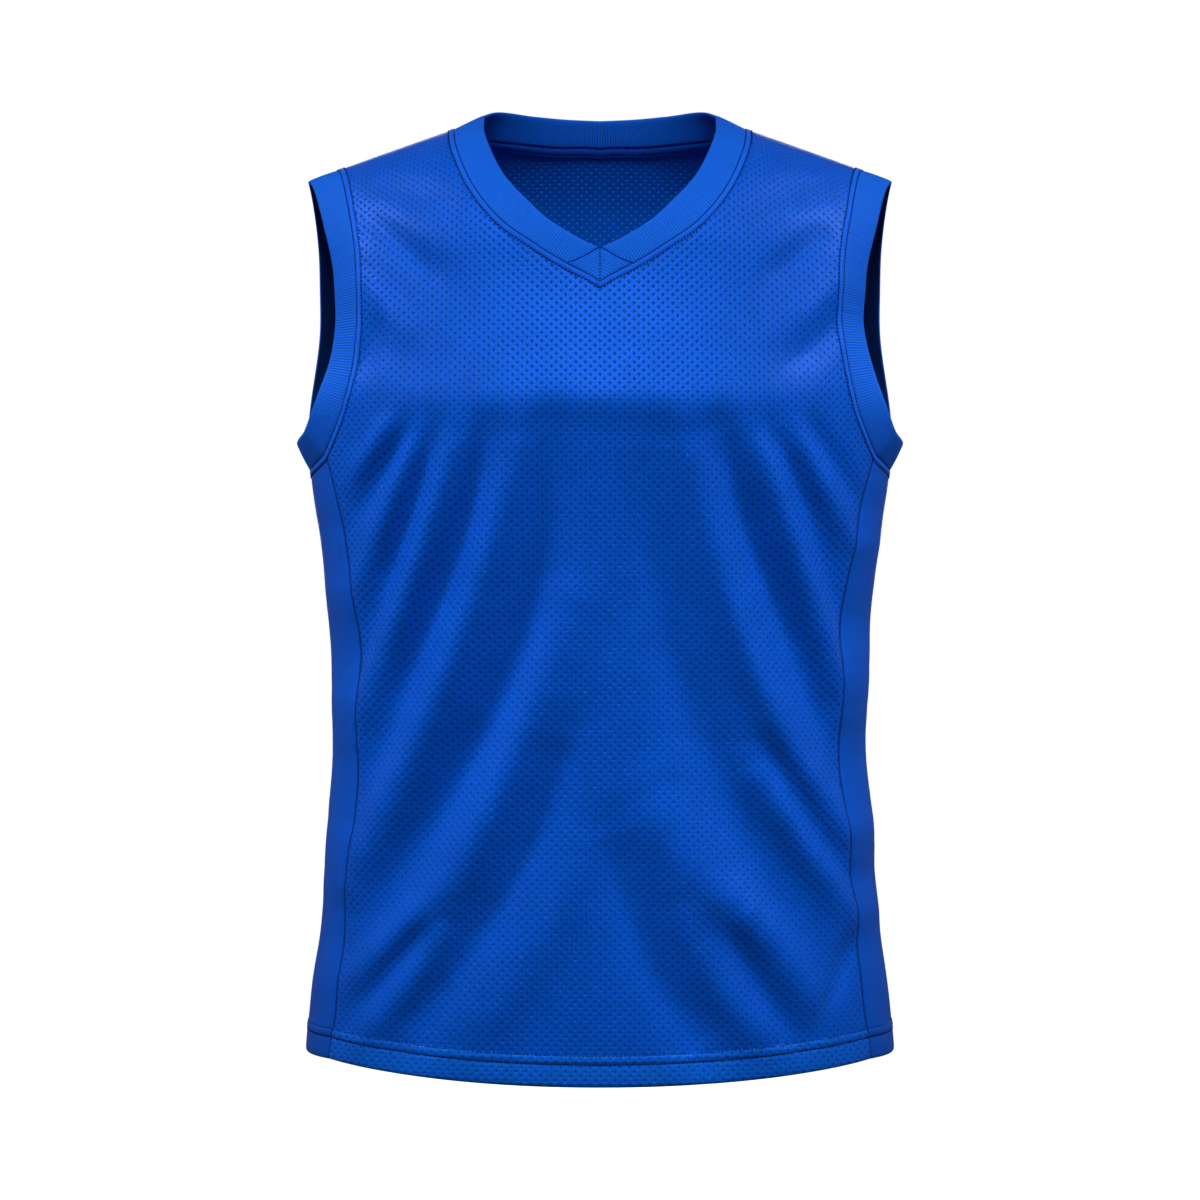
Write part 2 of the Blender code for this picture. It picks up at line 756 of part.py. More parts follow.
def band_facing(seam, edge, normals):
    """Normals of a band that runs from its seam to its free edge."""
    ahead = np.gradient(seam, axis=0)
    facing = unit(np.cross(ahead, edge - seam))
    return facing * np.sign((facing * normals).sum(-1, keepdims=True))


def neck_half(front, back, hand):
    """Half the neck seam from the V to the middle of the back, with the free edge."""
    name = "neck_right" if hand > 0 else "neck_left"
    seam, normals = [
        np.concatenate([own, other[:-1][::-1]])
        for own, other in zip(front.seam(name), back.seam(name))
    ]
    front_edge, back_edge = neck_line(FRONT)[1], neck_line(BACK)[1]
    edge = np.concatenate([front_edge, back_edge[:-1][::-1]]) * (hand, 1, 1)
    return seam, normals, edge


def slanted(stations, knots, shift):
    """Stations read a little earlier along the band, more so towards the free edge."""
    moved = stations.copy()
    for place, (across, _) in enumerate(BAND_PROFILE):
        earlier = 1 - (1 - across) ** (1 / MITRE_BEND)
        moved[:, place] = smooth(knots - shift * earlier, knots, stations[:, place])
    return moved


def add_neck_band(front, back):
    """The neck band from one mitre round the back to the other, and the two mitres."""
    halves = []
    for hand, name in ((1, "v_mitre_right"), (-1, "v_mitre_left")):
        seam, normals, edge = neck_half(front, back, hand)
        facing = band_facing(seam, edge, normals)
        stations = strip_stations(seam, normals, edge, facing, BAND_PROFILE, BAND_THICKNESS)
        knots = chord_knots(seam)
        fade = np.clip(1 - (knots - knots[MITRE_CELLS]) / (2 * MITRE_LENGTH), 0, 1)
        halves.append(slanted(stations, knots, (knots[MITRE_CELLS] - 2 * SEAM_GAP) * fade)[MITRE_CELLS:])
        add_mitre(name, stations, knots, hand)
    whole = np.concatenate([halves[1], halves[0][:-1][::-1]])
    add_sweep("neck_band", whole, False, RIB_KNIT)


def add_mitre(name, stations, knots, hand):
    """The three-cornered rib piece on one side of the V, cut from the band's shape."""
    length = knots[MITRE_CELLS]
    places = np.array([0.0, 0.25, 0.5, 0.7, 0.88]) * length
    read = smooth(places, knots, stations)
    top = 1 - (places / length) ** MITRE_BEND - MITRE_CLEARANCE
    half = len(BAND_PROFILE) // 2
    outer_across = np.array([across for across, _ in BAND_PROFILE[:half]])
    loops = []
    for loop, reach in zip(read, top):
        outer = smooth(outer_across * reach, outer_across, loop[:half])
        inner = smooth(outer_across * reach, outer_across, loop[half:][::-1])
        loops.append(np.concatenate([outer, inner[::-1]]))
    loops = np.array(loops)
    loops[0, :, 0] += hand * SEAM_GAP / 2
    add_sweep(name, loops, False, RIB_KNIT)


def add_hem(name, seam, edge, finish):
    """A turned-up hem below a panel, as thick as its two layers."""
    points, normals = seam
    stations = strip_stations(points, normals, edge, normals, HEM_PROFILE, HEM_THICKNESS)
    add_sweep(name, trimmed(stations, SEAM_GAP / 2), False, finish)


def face_hem(face, panel):
    """The hem seam of the front or back panel, from -X to +X, and the edge below it."""
    line = np.concatenate([panel.seams["hem_left"][::-1], panel.seams["hem_right"][1:]])
    x = side_seam_x(HEM_SIDE_Z) * np.linspace(-1, 1, len(line))
    edge = face_net(face, np.column_stack([x, drop_at(face, x, hem_height(x))])).points
    return Net(panel.points[line], panel.normals[line]), edge


def side_hem_edge(hand, front_end, back_end):
    """Bottom edge below each column of a side panel, from its front to its back."""
    part = np.linspace(0, 1, SIDE_CELLS + 1)
    z = hem_height(np.full_like(part, side_seam_x(HEM_SIDE_Z)))
    normals = outward(SideForm(), np.clip(part, 0.001, 0.999), z)
    points = SideForm()(part, z) + normals * side_lift(hand, part, z)[:, None]
    points = points * (hand, 1, 1)
    points[0], points[-1] = front_end, back_end
    return points


def add_neck_tape(back):
    """The tape over the neck seam, inside the back, made from the panel's points."""
    near = PANEL_THICKNESS + TAPE_GAP
    far = near + TAPE_THICKNESS
    low = TAPE_DROP + TAPE_WIDTH
    halves = []
    for hand in ("left", "right"):
        upper = back.seams["neck_" + hand][: TAPE_CELLS + 1]
        lower = upper + 1
        lower[0] = upper[0] - (HALF_CELLS + 1)
        ahead = unit(np.gradient(back.points[upper], axis=0))
        across = np.cross(ahead, back.points[lower] - back.points[upper])
        row_height = np.linalg.norm(across, axis=-1, keepdims=True)
        loops = []
        for drop, inset in ((TAPE_DROP, near), (low, near), (low, far), (TAPE_DROP, far)):
            share = drop / row_height
            points = back.points[upper] * (1 - share) + back.points[lower] * share
            normals = back.normals[upper] * (1 - share) + back.normals[lower] * share
            loops.append(points - normals * inset)
        halves.append(np.stack(loops, axis=1))
    stations = np.concatenate([halves[0][::-1], halves[1][1:]])
    add_sweep("back_neck_tape", stations, False, TAPE)


def clear_scene():
    """Removes whatever the scene starts with."""
    for piece in list(bpy.data.objects):
        bpy.data.objects.remove(piece, do_unlink=True)


def build_jersey():
    """All the pieces, panels first, since the others start from their seams."""
    front, back = face_panel(FRONT), face_panel(BACK)
    add_panel("front_panel", front, MESH_KNIT)
    add_panel("back_panel", back, MESH_KNIT)
    add_neck_band(front, back)
    add_neck_tape(back)
    front_hem, front_edge = face_hem(FRONT, front)
    back_hem, back_edge = face_hem(BACK, back)
    add_hem("hem_front", front_hem, front_edge, MESH_KNIT)
    add_hem("hem_back", back_hem, back_edge, MESH_KNIT)
    for hand, hand_name, end in ((1, "right", -1), (-1, "left", 0)):
        side = side_panel(hand, front, back)
        add_panel("side_panel_" + hand_name, side, PLAIN_KNIT)
        rim = armhole_rim(hand_name, front, back, side)
        add_armhole_band("armhole_band_" + hand_name, rim, hand)
        edge = side_hem_edge(hand, front_edge[end], back_edge[end])
        add_hem("hem_side_" + hand_name, side.seam("hem"), edge, PLAIN_KNIT)


clear_scene()
build_jersey()
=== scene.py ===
"""Looks of a sleeveless V-necked sports jersey in perforated mesh knit.

The jersey is filled out as if it were worn. Every cloth piece is a thin wall on the same body
form as its solid, with the folds of the photograph laid on it as soft ridges and troughs. The
bands carry real ribs, the seams have raised allowances and rows of stitches, and the mesh knit
has its lattice of holes in the material. Metres, +Z up, and the front faces -Y.
"""

from __future__ import annotations

import logging
import math
from dataclasses import dataclass, field
from enum import Enum
from typing import Any, Callable, NamedTuple, Sequence

import bmesh
import bpy
import numpy as np
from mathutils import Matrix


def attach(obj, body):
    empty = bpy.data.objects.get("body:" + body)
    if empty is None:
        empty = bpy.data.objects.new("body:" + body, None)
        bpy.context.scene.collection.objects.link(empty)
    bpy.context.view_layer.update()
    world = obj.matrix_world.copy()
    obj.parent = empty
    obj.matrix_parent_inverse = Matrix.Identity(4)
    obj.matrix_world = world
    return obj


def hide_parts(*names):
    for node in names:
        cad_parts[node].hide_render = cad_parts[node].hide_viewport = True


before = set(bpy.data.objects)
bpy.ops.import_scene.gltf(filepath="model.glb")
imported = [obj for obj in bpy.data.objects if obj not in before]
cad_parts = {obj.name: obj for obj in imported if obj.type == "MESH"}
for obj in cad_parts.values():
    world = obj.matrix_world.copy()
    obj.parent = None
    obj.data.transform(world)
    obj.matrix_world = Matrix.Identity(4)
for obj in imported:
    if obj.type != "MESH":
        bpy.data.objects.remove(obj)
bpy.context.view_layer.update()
LOG = logging.getLogger("jersey")
Array = np.ndarray
Material = bpy.types.Material
Piece = bpy.types.Object
# How sharply the folds fade towards their two ends, and the points along each one
FOLD_FADE = 0.45
FOLD_POINTS = 61
# The short way over which a form's slope is measured, and how near two points are one
SLOPE_STEP = 0.0002
SAME_PLACE = 1e-6
SHARP_ANGLE = math.radians(60)
# Where a panel's columns crowd up to its side seam, as shares of the way across
SEAM_COLUMNS = (0.968, 0.975, 0.981, 0.986, 0.991, 0.995, 1.0)


class Side(Enum):
    """The front or the back of the body."""

    FRONT = -1
    BACK = 1


class Hand(Enum):
    """Which side of the front view a piece lies on."""

    LEFT = -1
    RIGHT = 1

    @property
    def label(self) -> str:
        """The word used in the names of pieces."""
        return self.name.lower()


class Section(NamedTuple):
    """One level of the body: its height, half width and depths to the front and back."""

    height: float
    half_width: float
    front_depth: float
    back_depth: float


class SeamPoint(NamedTuple):
    """A point of a seam, seen from the front."""

    x: float
    z: float


class Lean(NamedTuple):
    """How far an armhole band leans out of its panel at one height, in radians."""

    height: float
    angle: float


class NeckStation(NamedTuple):
    """A place on the neck band: its seam, seen from the front, and its free edge."""

    seam_x: float
    seam_z: float
    edge_x: float
    edge_y: float
    edge_z: float


class Fold(NamedTuple):
    """A soft ridge, or a trough where height is negative, along a bent line on a panel."""

    start_x: float
    start_z: float
    bend_x: float
    bend_z: float
    end_x: float
    end_z: float
    width: float
    height: float


SECTIONS = (
    Section(0.040, 0.200, 0.068, 0.080),
    Section(0.000, 0.208, 0.074, 0.084),
    Section(-0.060, 0.214, 0.086, 0.095),
    Section(-0.121, 0.216, 0.098, 0.104),
    Section(-0.165, 0.216, 0.1100, 0.107),
    Section(-0.200, 0.216, 0.1190, 0.106),
    Section(-0.212, 0.2158, 0.1202, 0.1045),
    Section(-0.235, 0.215, 0.1200, 0.102),
    Section(-0.259, 0.213, 0.1190, 0.099),
    Section(-0.318, 0.2045, 0.1170, 0.092),
    Section(-0.377, 0.199, 0.1163, 0.087),
    Section(-0.440, 0.1972, 0.1165, 0.085),
    Section(-0.496, 0.200, 0.1178, 0.088),
    Section(-0.570, 0.2048, 0.1200, 0.096),
    Section(-0.644, 0.214, 0.1225, 0.105),
    Section(-0.691, 0.2178, 0.1245, 0.110),
)
UNDERARM = SeamPoint(0.1990, -0.2415)
SHOULDER_TIP_X = 0.1947
NECK_POINT_X = 0.108
SIDE_SEAM = (
    UNDERARM,
    SeamPoint(0.1902, -0.276),
    SeamPoint(0.1815, -0.320),
    SeamPoint(0.1756, -0.365),
    SeamPoint(0.1748, -0.440),
    SeamPoint(0.1784, -0.507),
    SeamPoint(0.1855, -0.575),
    SeamPoint(0.1915, -0.649),
    SeamPoint(0.1975, -0.691),
)
ARMHOLES = {
    Side.FRONT: (
        UNDERARM,
        SeamPoint(0.1941, -0.2313),
        SeamPoint(0.1868, -0.2137),
        SeamPoint(0.1820, -0.196),
        SeamPoint(0.1772, -0.171),
        SeamPoint(0.1749, -0.145),
        SeamPoint(0.1750, -0.120),
        SeamPoint(0.1778, -0.092),
        SeamPoint(0.1830, -0.065),
    ),
    Side.BACK: (
        UNDERARM,
        SeamPoint(0.1972, -0.2165),
        SeamPoint(0.1946, -0.183),
        SeamPoint(0.1927, -0.140),
        SeamPoint(0.1928, -0.095),
        SeamPoint(0.1940, -0.055),
    ),
}
BAND_LEANS = {
    Side.FRONT: (
        Lean(-0.2415, 0.38),
        Lean(-0.215, 0.32),
        Lean(-0.190, 0.10),
        Lean(-0.155, -0.14),
        Lean(-0.110, -0.18),
        Lean(-0.060, 0.0),
        Lean(0.0, 0.0),
    ),
    Side.BACK: (
        Lean(-0.2415, 0.38),
        Lean(-0.228, 0.60),
        Lean(-0.205, 0.58),
        Lean(-0.185, 0.38),
        Lean(-0.155, 0.14),
        Lean(-0.110, 0.12),
        Lean(-0.060, 0.06),
        Lean(0.0, 0.0),
    ),
}
NECKS = {
    Side.FRONT: (
        NeckStation(0.0000, -0.1211, 0.0000, -0.0920, -0.0965),
        NeckStation(0.0240, -0.1078, 0.0136, -0.0910, -0.0899),
        NeckStation(0.0500, -0.0912, 0.0376, -0.0855, -0.0744),
        NeckStation(0.0667, -0.0793, 0.0515, -0.0790, -0.0609),
        NeckStation(0.0900, -0.0515, 0.0695, -0.0630, -0.0395),
        NeckStation(0.1040, -0.0200, 0.0825, -0.0360, -0.0110),
        NeckStation(NECK_POINT_X, 0.0, 0.0862, 0.0010, 0.0110),
    ),
    Side.BACK: (
        NeckStation(0.0000, -0.0050, 0.0000, 0.0540, 0.0145),
        NeckStation(0.0300, -0.0046, 0.0250, 0.0510, 0.0152),
        NeckStation(0.0600, -0.0032, 0.0490, 0.0420, 0.0162),
        NeckStation(0.0960, -0.0008, 0.0770, 0.0200, 0.0166),
        NeckStation(NECK_POINT_X, 0.0, 0.0862, 0.0010, 0.0110),
    ),
}
FOLDS = {
    Side.FRONT: (
        Fold(-0.148, -0.218, -0.155, -0.230, -0.179, -0.262, 0.008, 0.0042),
        Fold(-0.137, -0.221, -0.144, -0.240, -0.179, -0.294, 0.008, -0.0048),
        Fold(-0.127, -0.225, -0.143, -0.267, -0.179, -0.351, 0.009, 0.0052),
        Fold(-0.117, -0.226, -0.135, -0.280, -0.178, -0.407, 0.009, -0.0058),
        Fold(-0.100, -0.224, -0.120, -0.304, -0.178, -0.447, 0.011, 0.0068),
        Fold(-0.078, -0.224, -0.093, -0.303, -0.179, -0.505, 0.012, -0.0070),
        Fold(-0.059, -0.225, -0.074, -0.351, -0.179, -0.554, 0.015, 0.0090),
        Fold(-0.037, -0.224, -0.035, -0.411, -0.181, -0.593, 0.019, -0.0095),
        Fold(-0.023, -0.348, -0.075, -0.513, -0.119, -0.568, 0.017, 0.0078),
        Fold(-0.113, -0.554, -0.152, -0.593, -0.182, -0.626, 0.011, 0.0042),
        Fold(-0.121, -0.578, -0.140, -0.598, -0.181, -0.649, 0.008, -0.0038),
        Fold(-0.109, -0.574, -0.121, -0.614, -0.172, -0.663, 0.010, 0.0044),
        Fold(-0.027, -0.440, -0.047, -0.538, -0.140, -0.665, 0.015, -0.0064),
        Fold(-0.014, -0.524, -0.044, -0.609, -0.095, -0.665, 0.016, 0.0032),
        Fold(0.150, -0.218, 0.164, -0.242, 0.188, -0.280, 0.007, -0.0036),
        Fold(0.137, -0.225, 0.155, -0.257, 0.186, -0.318, 0.008, 0.0042),
        Fold(0.120, -0.224, 0.157, -0.281, 0.181, -0.393, 0.009, -0.0050),
        Fold(0.108, -0.226, 0.135, -0.297, 0.178, -0.430, 0.010, 0.0064),
        Fold(0.084, -0.228, 0.113, -0.321, 0.184, -0.493, 0.012, -0.0078),
        Fold(0.064, -0.224, 0.088, -0.411, 0.185, -0.530, 0.012, 0.0078),
        Fold(0.037, -0.235, 0.033, -0.440, 0.165, -0.602, 0.022, -0.0084),
        Fold(0.119, -0.448, 0.146, -0.495, 0.188, -0.560, 0.009, -0.0046),
        Fold(0.104, -0.462, 0.132, -0.507, 0.191, -0.588, 0.011, 0.0052),
        Fold(0.035, -0.482, 0.068, -0.559, 0.110, -0.582, 0.020, 0.0062),
        Fold(0.100, -0.560, 0.137, -0.604, 0.162, -0.654, 0.013, 0.0046),
        Fold(0.086, -0.574, 0.107, -0.613, 0.143, -0.664, 0.010, -0.0042),
        Fold(0.054, -0.558, 0.073, -0.620, 0.119, -0.667, 0.013, 0.0048),
        Fold(0.008, -0.510, 0.030, -0.601, 0.072, -0.668, 0.018, -0.0068),
        Fold(0.186, -0.585, 0.174, -0.620, 0.152, -0.654, 0.007, -0.0032),
        Fold(-0.158, -0.144, -0.164, -0.168, -0.175, -0.190, 0.008, -0.0034),
        Fold(-0.179, -0.063, -0.139, -0.095, -0.113, -0.122, 0.011, -0.0038),
        Fold(-0.176, -0.109, -0.156, -0.141, -0.127, -0.164, 0.012, 0.0028),
        Fold(-0.175, -0.046, -0.144, -0.045, -0.102, -0.069, 0.013, -0.0022),
        Fold(0.164, -0.077, 0.146, -0.098, 0.120, -0.119, 0.011, -0.0032),
        Fold(0.176, -0.136, 0.160, -0.165, 0.131, -0.183, 0.010, -0.0030),
        Fold(0.178, -0.109, 0.157, -0.137, 0.130, -0.154, 0.012, 0.0024),
        Fold(0.178, -0.046, 0.148, -0.045, 0.104, -0.069, 0.013, -0.0018),
        Fold(-0.144, -0.205, 0.000, -0.211, 0.144, -0.205, 0.012, 0.0018),
        Fold(-0.025, -0.263, -0.005, -0.362, -0.028, -0.461, 0.032, 0.0016),
    ),
    Side.BACK: (
        Fold(-0.120, -0.190, -0.128, -0.300, -0.178, -0.420, 0.020, 0.0078),
        Fold(-0.070, -0.240, -0.092, -0.380, -0.176, -0.520, 0.022, 0.0075),
        Fold(-0.096, -0.215, -0.112, -0.340, -0.176, -0.470, 0.018, -0.0072),
        Fold(-0.030, -0.320, -0.060, -0.460, -0.165, -0.610, 0.025, -0.0078),
        Fold(0.116, -0.200, 0.130, -0.310, 0.176, -0.400, 0.018, 0.0070),
        Fold(0.066, -0.225, 0.098, -0.390, 0.180, -0.545, 0.021, 0.0080),
        Fold(0.094, -0.230, 0.110, -0.350, 0.174, -0.480, 0.017, -0.0070),
        Fold(0.026, -0.300, 0.070, -0.470, 0.160, -0.630, 0.026, -0.0080),
        Fold(-0.130, -0.120, 0.000, -0.105, 0.130, -0.120, 0.030, 0.0030),
        Fold(-0.150, -0.240, -0.160, -0.270, -0.182, -0.300, 0.009, -0.0022),
        Fold(0.146, -0.236, 0.158, -0.262, 0.182, -0.290, 0.009, -0.0024),
        Fold(-0.060, -0.545, -0.100, -0.590, -0.150, -0.650, 0.014, 0.0032),
        Fold(0.086, -0.560, 0.118, -0.600, 0.158, -0.640, 0.013, 0.0030),
    ),
}


def smooth(at: Array, knots: Sequence[float], values: Sequence) -> Array:
    """Reads a smooth curve at any places.

    Args:
        at: Places to read, held between the first and the last knot.
        knots: Rising places of the given values.
        values: One number or vector for each knot.

    Returns:
        One value for each place.
    """
    knots = np.asarray(knots, float)
    values = np.asarray(values, float)
    at = np.clip(np.asarray(at, float), knots[0], knots[-1])
    flat = values.reshape(len(knots), -1)
    steps = np.diff(knots)[:, None]
    slopes = np.diff(flat, axis=0) / steps
    inner = (slopes[:-1] * steps[1:] + slopes[1:] * steps[:-1]) / (steps[1:] + steps[:-1])
    tangents = np.vstack([slopes[:1], inner, slopes[-1:]])
    low = np.clip(np.searchsorted(knots, at, side="right") - 1, 0, len(knots) - 2)
    step = steps[low]
    part = ((at - knots[low])[..., None]) / step
    found = (
        (1 + 2 * part) * (1 - part) ** 2 * flat[low]
        + part * (1 - part) ** 2 * tangents[low] * step
        + part**2 * (3 - 2 * part) * flat[low + 1]
        + part**2 * (part - 1) * tangents[low + 1] * step
    )
    return found.reshape(at.shape + values.shape[1:])


def running_length(points: Array) -> Array:
    """Running length along a line of points."""
    return np.concatenate([[0.0], np.cumsum(np.linalg.norm(np.diff(points, axis=0), axis=1))])


def resampled(line: Array, places: Array) -> Array:
    """Rows of a finely sampled line, read at lengths along its first three columns."""
    lengths = running_length(line[:, :3])
    return np.column_stack([np.interp(places, lengths, column) for column in line.T])


def running_widths(points: Array) -> Array:
    """Running length along each row of points."""
    steps = np.linalg.norm(np.diff(points, axis=1), axis=-1)
    return np.concatenate([np.zeros((len(points), 1)), np.cumsum(steps, axis=1)], axis=1)


def unit(vectors: Array) -> Array:
    """Vectors of length one."""
    return vectors / np.maximum(np.linalg.norm(vectors, axis=-1, keepdims=True), 1e-12)


def ease(share: Array) -> Array:
    """A soft step from zero to one."""
    share = np.clip(share, 0, 1)
    return share**2 * (3 - 2 * share)


@dataclass(frozen=True)
class BodyForm:
    """The hollow form of the filled-out jersey, plain and with its folds.

    A place on the front or back is given by x and by drop, the way down the cloth from the
    shoulder ridge. A place on a side panel is given by its share of the way from the front
    seam to the back seam and by its height.
    """

    ridge_slope: float = 0.364
    ridge_round: float = 0.040
    front_round: float = 0.112
    back_round: float = 0.102
    round_taper: float = 0.034
    fullness: float = 2.3
    hem_side_z: float = -0.676
    hem_dip: float = 0.015
    hem_width: float = 0.0225
    underarm_dip: float = 0.0115
    underarm_bend: float = 0.75

    def section_at(self, height: Array) -> tuple[Array, Array, Array]:
        """The body's section at each height.

        Args:
            height: The heights.

        Returns:
            Half width, front depth and back depth at each one.
        """
        rows = SECTIONS[::-1]
        found = smooth(height, [row.height for row in rows], [row[1:] for row in rows])
        return found[..., 0], found[..., 1], found[..., 2]

    def ridge_height(self, x: Array) -> Array:
        """Height of the shoulder ridge, which is zero where it meets the neck."""
        top = self.ridge_slope * math.hypot(NECK_POINT_X, self.ridge_round)
        return top - self.ridge_slope * np.hypot(x, self.ridge_round)

    def round_over(self, side: Side, x: Array) -> Array:
        """How far below the ridge the cloth turns straight down."""
        radius = self.front_round if side is Side.FRONT else self.back_round
        return radius - self.round_taper * (np.abs(x) / SHOULDER_TIP_X) ** 2

    def drop_at(self, side: Side, x: Array, z: Array) -> Array:
        """Way down the cloth from the shoulder ridge to a height.

        Args:
            side: Front or back.
            x: Places across.
            z: Heights.

        Returns:
            The drop at each place.
        """
        radius = self.round_over(side, x)
        below = (self.ridge_height(x) - z) / radius
        return radius * (np.arccos(np.clip(1 - below, 0, 1)) + np.clip(below - 1, 0, None))

    def height_at(self, side: Side, x: Array, drop: Array) -> Array:
        """Height of the place that lies a drop below the shoulder ridge.

        Args:
            side: Front or back.
            x: Places across.
            drop: Way down the cloth at each.

        Returns:
            The height of each place.
        """
        radius = self.round_over(side, x)
        turn = drop / radius
        curved = 1 - np.cos(np.clip(turn, 0, math.pi / 2))
        return self.ridge_height(x) - radius * (curved + np.clip(turn - math.pi / 2, 0, None))

    def face_points(self, side: Side, x: Array, drop: Array) -> Array:
        """Points of the plain front or back.

        Args:
            side: Front or back.
            x: Places across.
            drop: Way down the cloth at each.

        Returns:
            The points.
        """
        z = self.height_at(side, x, drop)
        half_width, front_depth, back_depth = self.section_at(z)
        depth = front_depth if side is Side.FRONT else back_depth
        across = np.clip(1 - np.abs(x / half_width) ** self.fullness, 0, None)
        over = np.sin(np.clip(drop / self.round_over(side, x), 0, math.pi / 2))
        y = side.value * depth * across ** (1 / self.fullness) * over
        return np.stack([x, y, z], axis=-1)

    def flank_points(self, share: Array, z: Array) -> Array:
        """Points of the plain side at +X.

        Args:
            share: Share of the way from the front side seam to the back one.
            z: Heights.

        Returns:
            The points.
        """
        half_width, front_depth, back_depth = self.section_at(z)
        reach = np.clip(self.side_seam_x(z) / half_width, 0, 1) ** (self.fullness / 2)
        angle = np.arccos(reach) * (2 * share - 1)
        depth = np.where(angle < 0, front_depth, back_depth)
        y = np.sign(angle) * depth * np.abs(np.sin(angle)) ** (2 / self.fullness)
        return np.stack([half_width * np.cos(angle) ** (2 / self.fullness), y, z], axis=-1)

    def hem_height(self, x: Array) -> Array:
        """Height of the bottom edge, which dips between the side seams."""
        half_width = self.section_at(self.hem_side_z)[0]
        return self.hem_side_z - self.hem_dip * np.clip(1 - (x / half_width) ** 2, 0, 1)

    def underarm_height(self, share: Array) -> Array:
        """Height of the armhole seam by the share of the way round under the arm."""
        return UNDERARM.z - self.underarm_dip * np.sin(math.pi * share) ** self.underarm_bend

    def side_seam_x(self, z: Array) -> Array:
        """Where the side seam runs at each height."""
        rows = SIDE_SEAM[::-1]
        return smooth(z, [row.z for row in rows], [row.x for row in rows])

    def relief(self, side: Side, x: Array, z: Array) -> Array:
        """How far the folds lift the cloth.

        Args:
            side: Front or back.
            x: Places across, seen from the front.
            z: Their heights.

        Returns:
            The lift at each place, below zero in a trough.
        """
        lift = np.zeros(np.broadcast(x, z).shape)
        part = np.linspace(0, 1, FOLD_POINTS)
        for fold in FOLDS[side]:
            path_x, path_z = bent_line(fold, part)
            low_x, high_x = path_x.min() - 3 * fold.width, path_x.max() + 3 * fold.width
            low_z, high_z = path_z.min() - 3 * fold.width, path_z.max() + 3 * fold.width
            near = (x > low_x) & (x < high_x) & (z > low_z) & (z < high_z)
            if not near.any():
                continue
            distance = np.hypot(x[near][:, None] - path_x, z[near][:, None] - path_z)
            place = np.clip(part[distance.argmin(-1)], 0.02, 0.98)
            fade = np.sin(math.pi * place) ** FOLD_FADE
            lift[near] += fold.height * fade * np.exp(-((distance.min(-1) / fold.width) ** 2))
        return lift

    def face_cloth(self, side: Side, places: Array) -> tuple[Array, Array]:
        """The front or back with its folds.

        Args:
            side: Front or back.
            places: x and drop in the last axis.

        Returns:
            The points and their outward normals.
        """
        x, drop = places[..., 0], places[..., 1]
        base = self.face_points(side, x, drop)
        normals = outward(lambda a, b: self.face_points(side, a, b), x, np.maximum(drop, 0.0003))
        lift = self.relief(side, x, base[..., 2])
        return base + normals * lift[..., None], normals

    def flank_cloth(self, hand: Hand, share: Array, z: Array) -> tuple[Array, Array]:
        """A side with the folds that run on from the front and back.

        Args:
            hand: Which side.
            share: Share of the way from the front seam to the back seam.
            z: Heights.

        Returns:
            The points and their outward normals.
        """
        seam_x = hand.value * self.side_seam_x(z)
        front = self.relief(Side.FRONT, seam_x, z) * (1 - share) ** 2
        back = self.relief(Side.BACK, seam_x, z) * share**2
        normals = outward(self.flank_points, np.clip(share, 0.001, 0.999), z)
        points = self.flank_points(share, z) + normals * (front + back)[..., None]
        return points * (hand.value, 1, 1), normals * (hand.value, 1, 1)

    def cloth_map(self, side: Side, places: Array) -> Array:
        """Where each place lies on the flat cloth, in metres across and down.

        Args:
            side: Front or back.
            places: x and drop in the last axis.

        Returns:
            Lengths from the middle and down the cloth, in the last axis.
        """
        x, drop = places[..., 0], places[..., 1]
        unrolled = math.pi / 2 - 1
        down = drop - self.round_over(side, x) * unrolled - self.ridge_height(x)
        ways = x[..., None] * np.linspace(0, 1, 25)
        drops = down[..., None] + self.round_over(side, ways) * unrolled + self.ridge_height(ways)
        line = self.face_points(side, ways, drops)
        across = np.linalg.norm(np.diff(line, axis=-2), axis=-1).sum(-1) * np.sign(x)
        return np.stack([across, -down], axis=-1)


def bent_line(fold: Fold, part: Array) -> tuple[Array, Array]:
    """A fold's line.

    Args:
        fold: The fold.
        part: Parts of the way from its start to its end.

    Returns:
        x and z at each part.
    """
    ends = (1 - part) ** 2, 2 * part * (1 - part), part**2
    path_x = ends[0] * fold.start_x + ends[1] * fold.bend_x + ends[2] * fold.end_x
    path_z = ends[0] * fold.start_z + ends[1] * fold.bend_z + ends[2] * fold.end_z
    return path_x, path_z


def outward(form: Callable, first: Array, second: Array) -> Array:
    """Unit normals of a form that point away from the body's middle.

    Args:
        form: Takes two arrays of places and returns points.
        first: The first places.
        second: The second places.

    Returns:
        One normal for each place.
    """
    along = form(first + SLOPE_STEP, second) - form(first - SLOPE_STEP, second)
    down = form(first, second + SLOPE_STEP) - form(first, second - SLOPE_STEP)
    normals = unit(np.cross(along, down))
    middle = form(first, second) * (1, 1, 0)
    return normals * np.where((normals * middle).sum(-1, keepdims=True) < 0, -1, 1)


# Flat coordinates, rib height with painted highlight and shade, and painted shade in seam grooves
CLOTH_MAP = "cloth"
RIB_HEIGHT_AND_SHADE = "rib_height_and_shade"
SEAM_SHADE = "seam_groove_shade"
# The dye tints the fibres' fuzz and their gloss alike
SHEEN_ROUGHNESS = 0.45
SHEEN_COLOUR = "1050d0"
GLOSS_COLOUR = "2e6ef2"
SMOOTH_STEP = {"interpolation_type": "SMOOTHSTEP"}
Signal = bpy.types.Node | bpy.types.NodeSocket


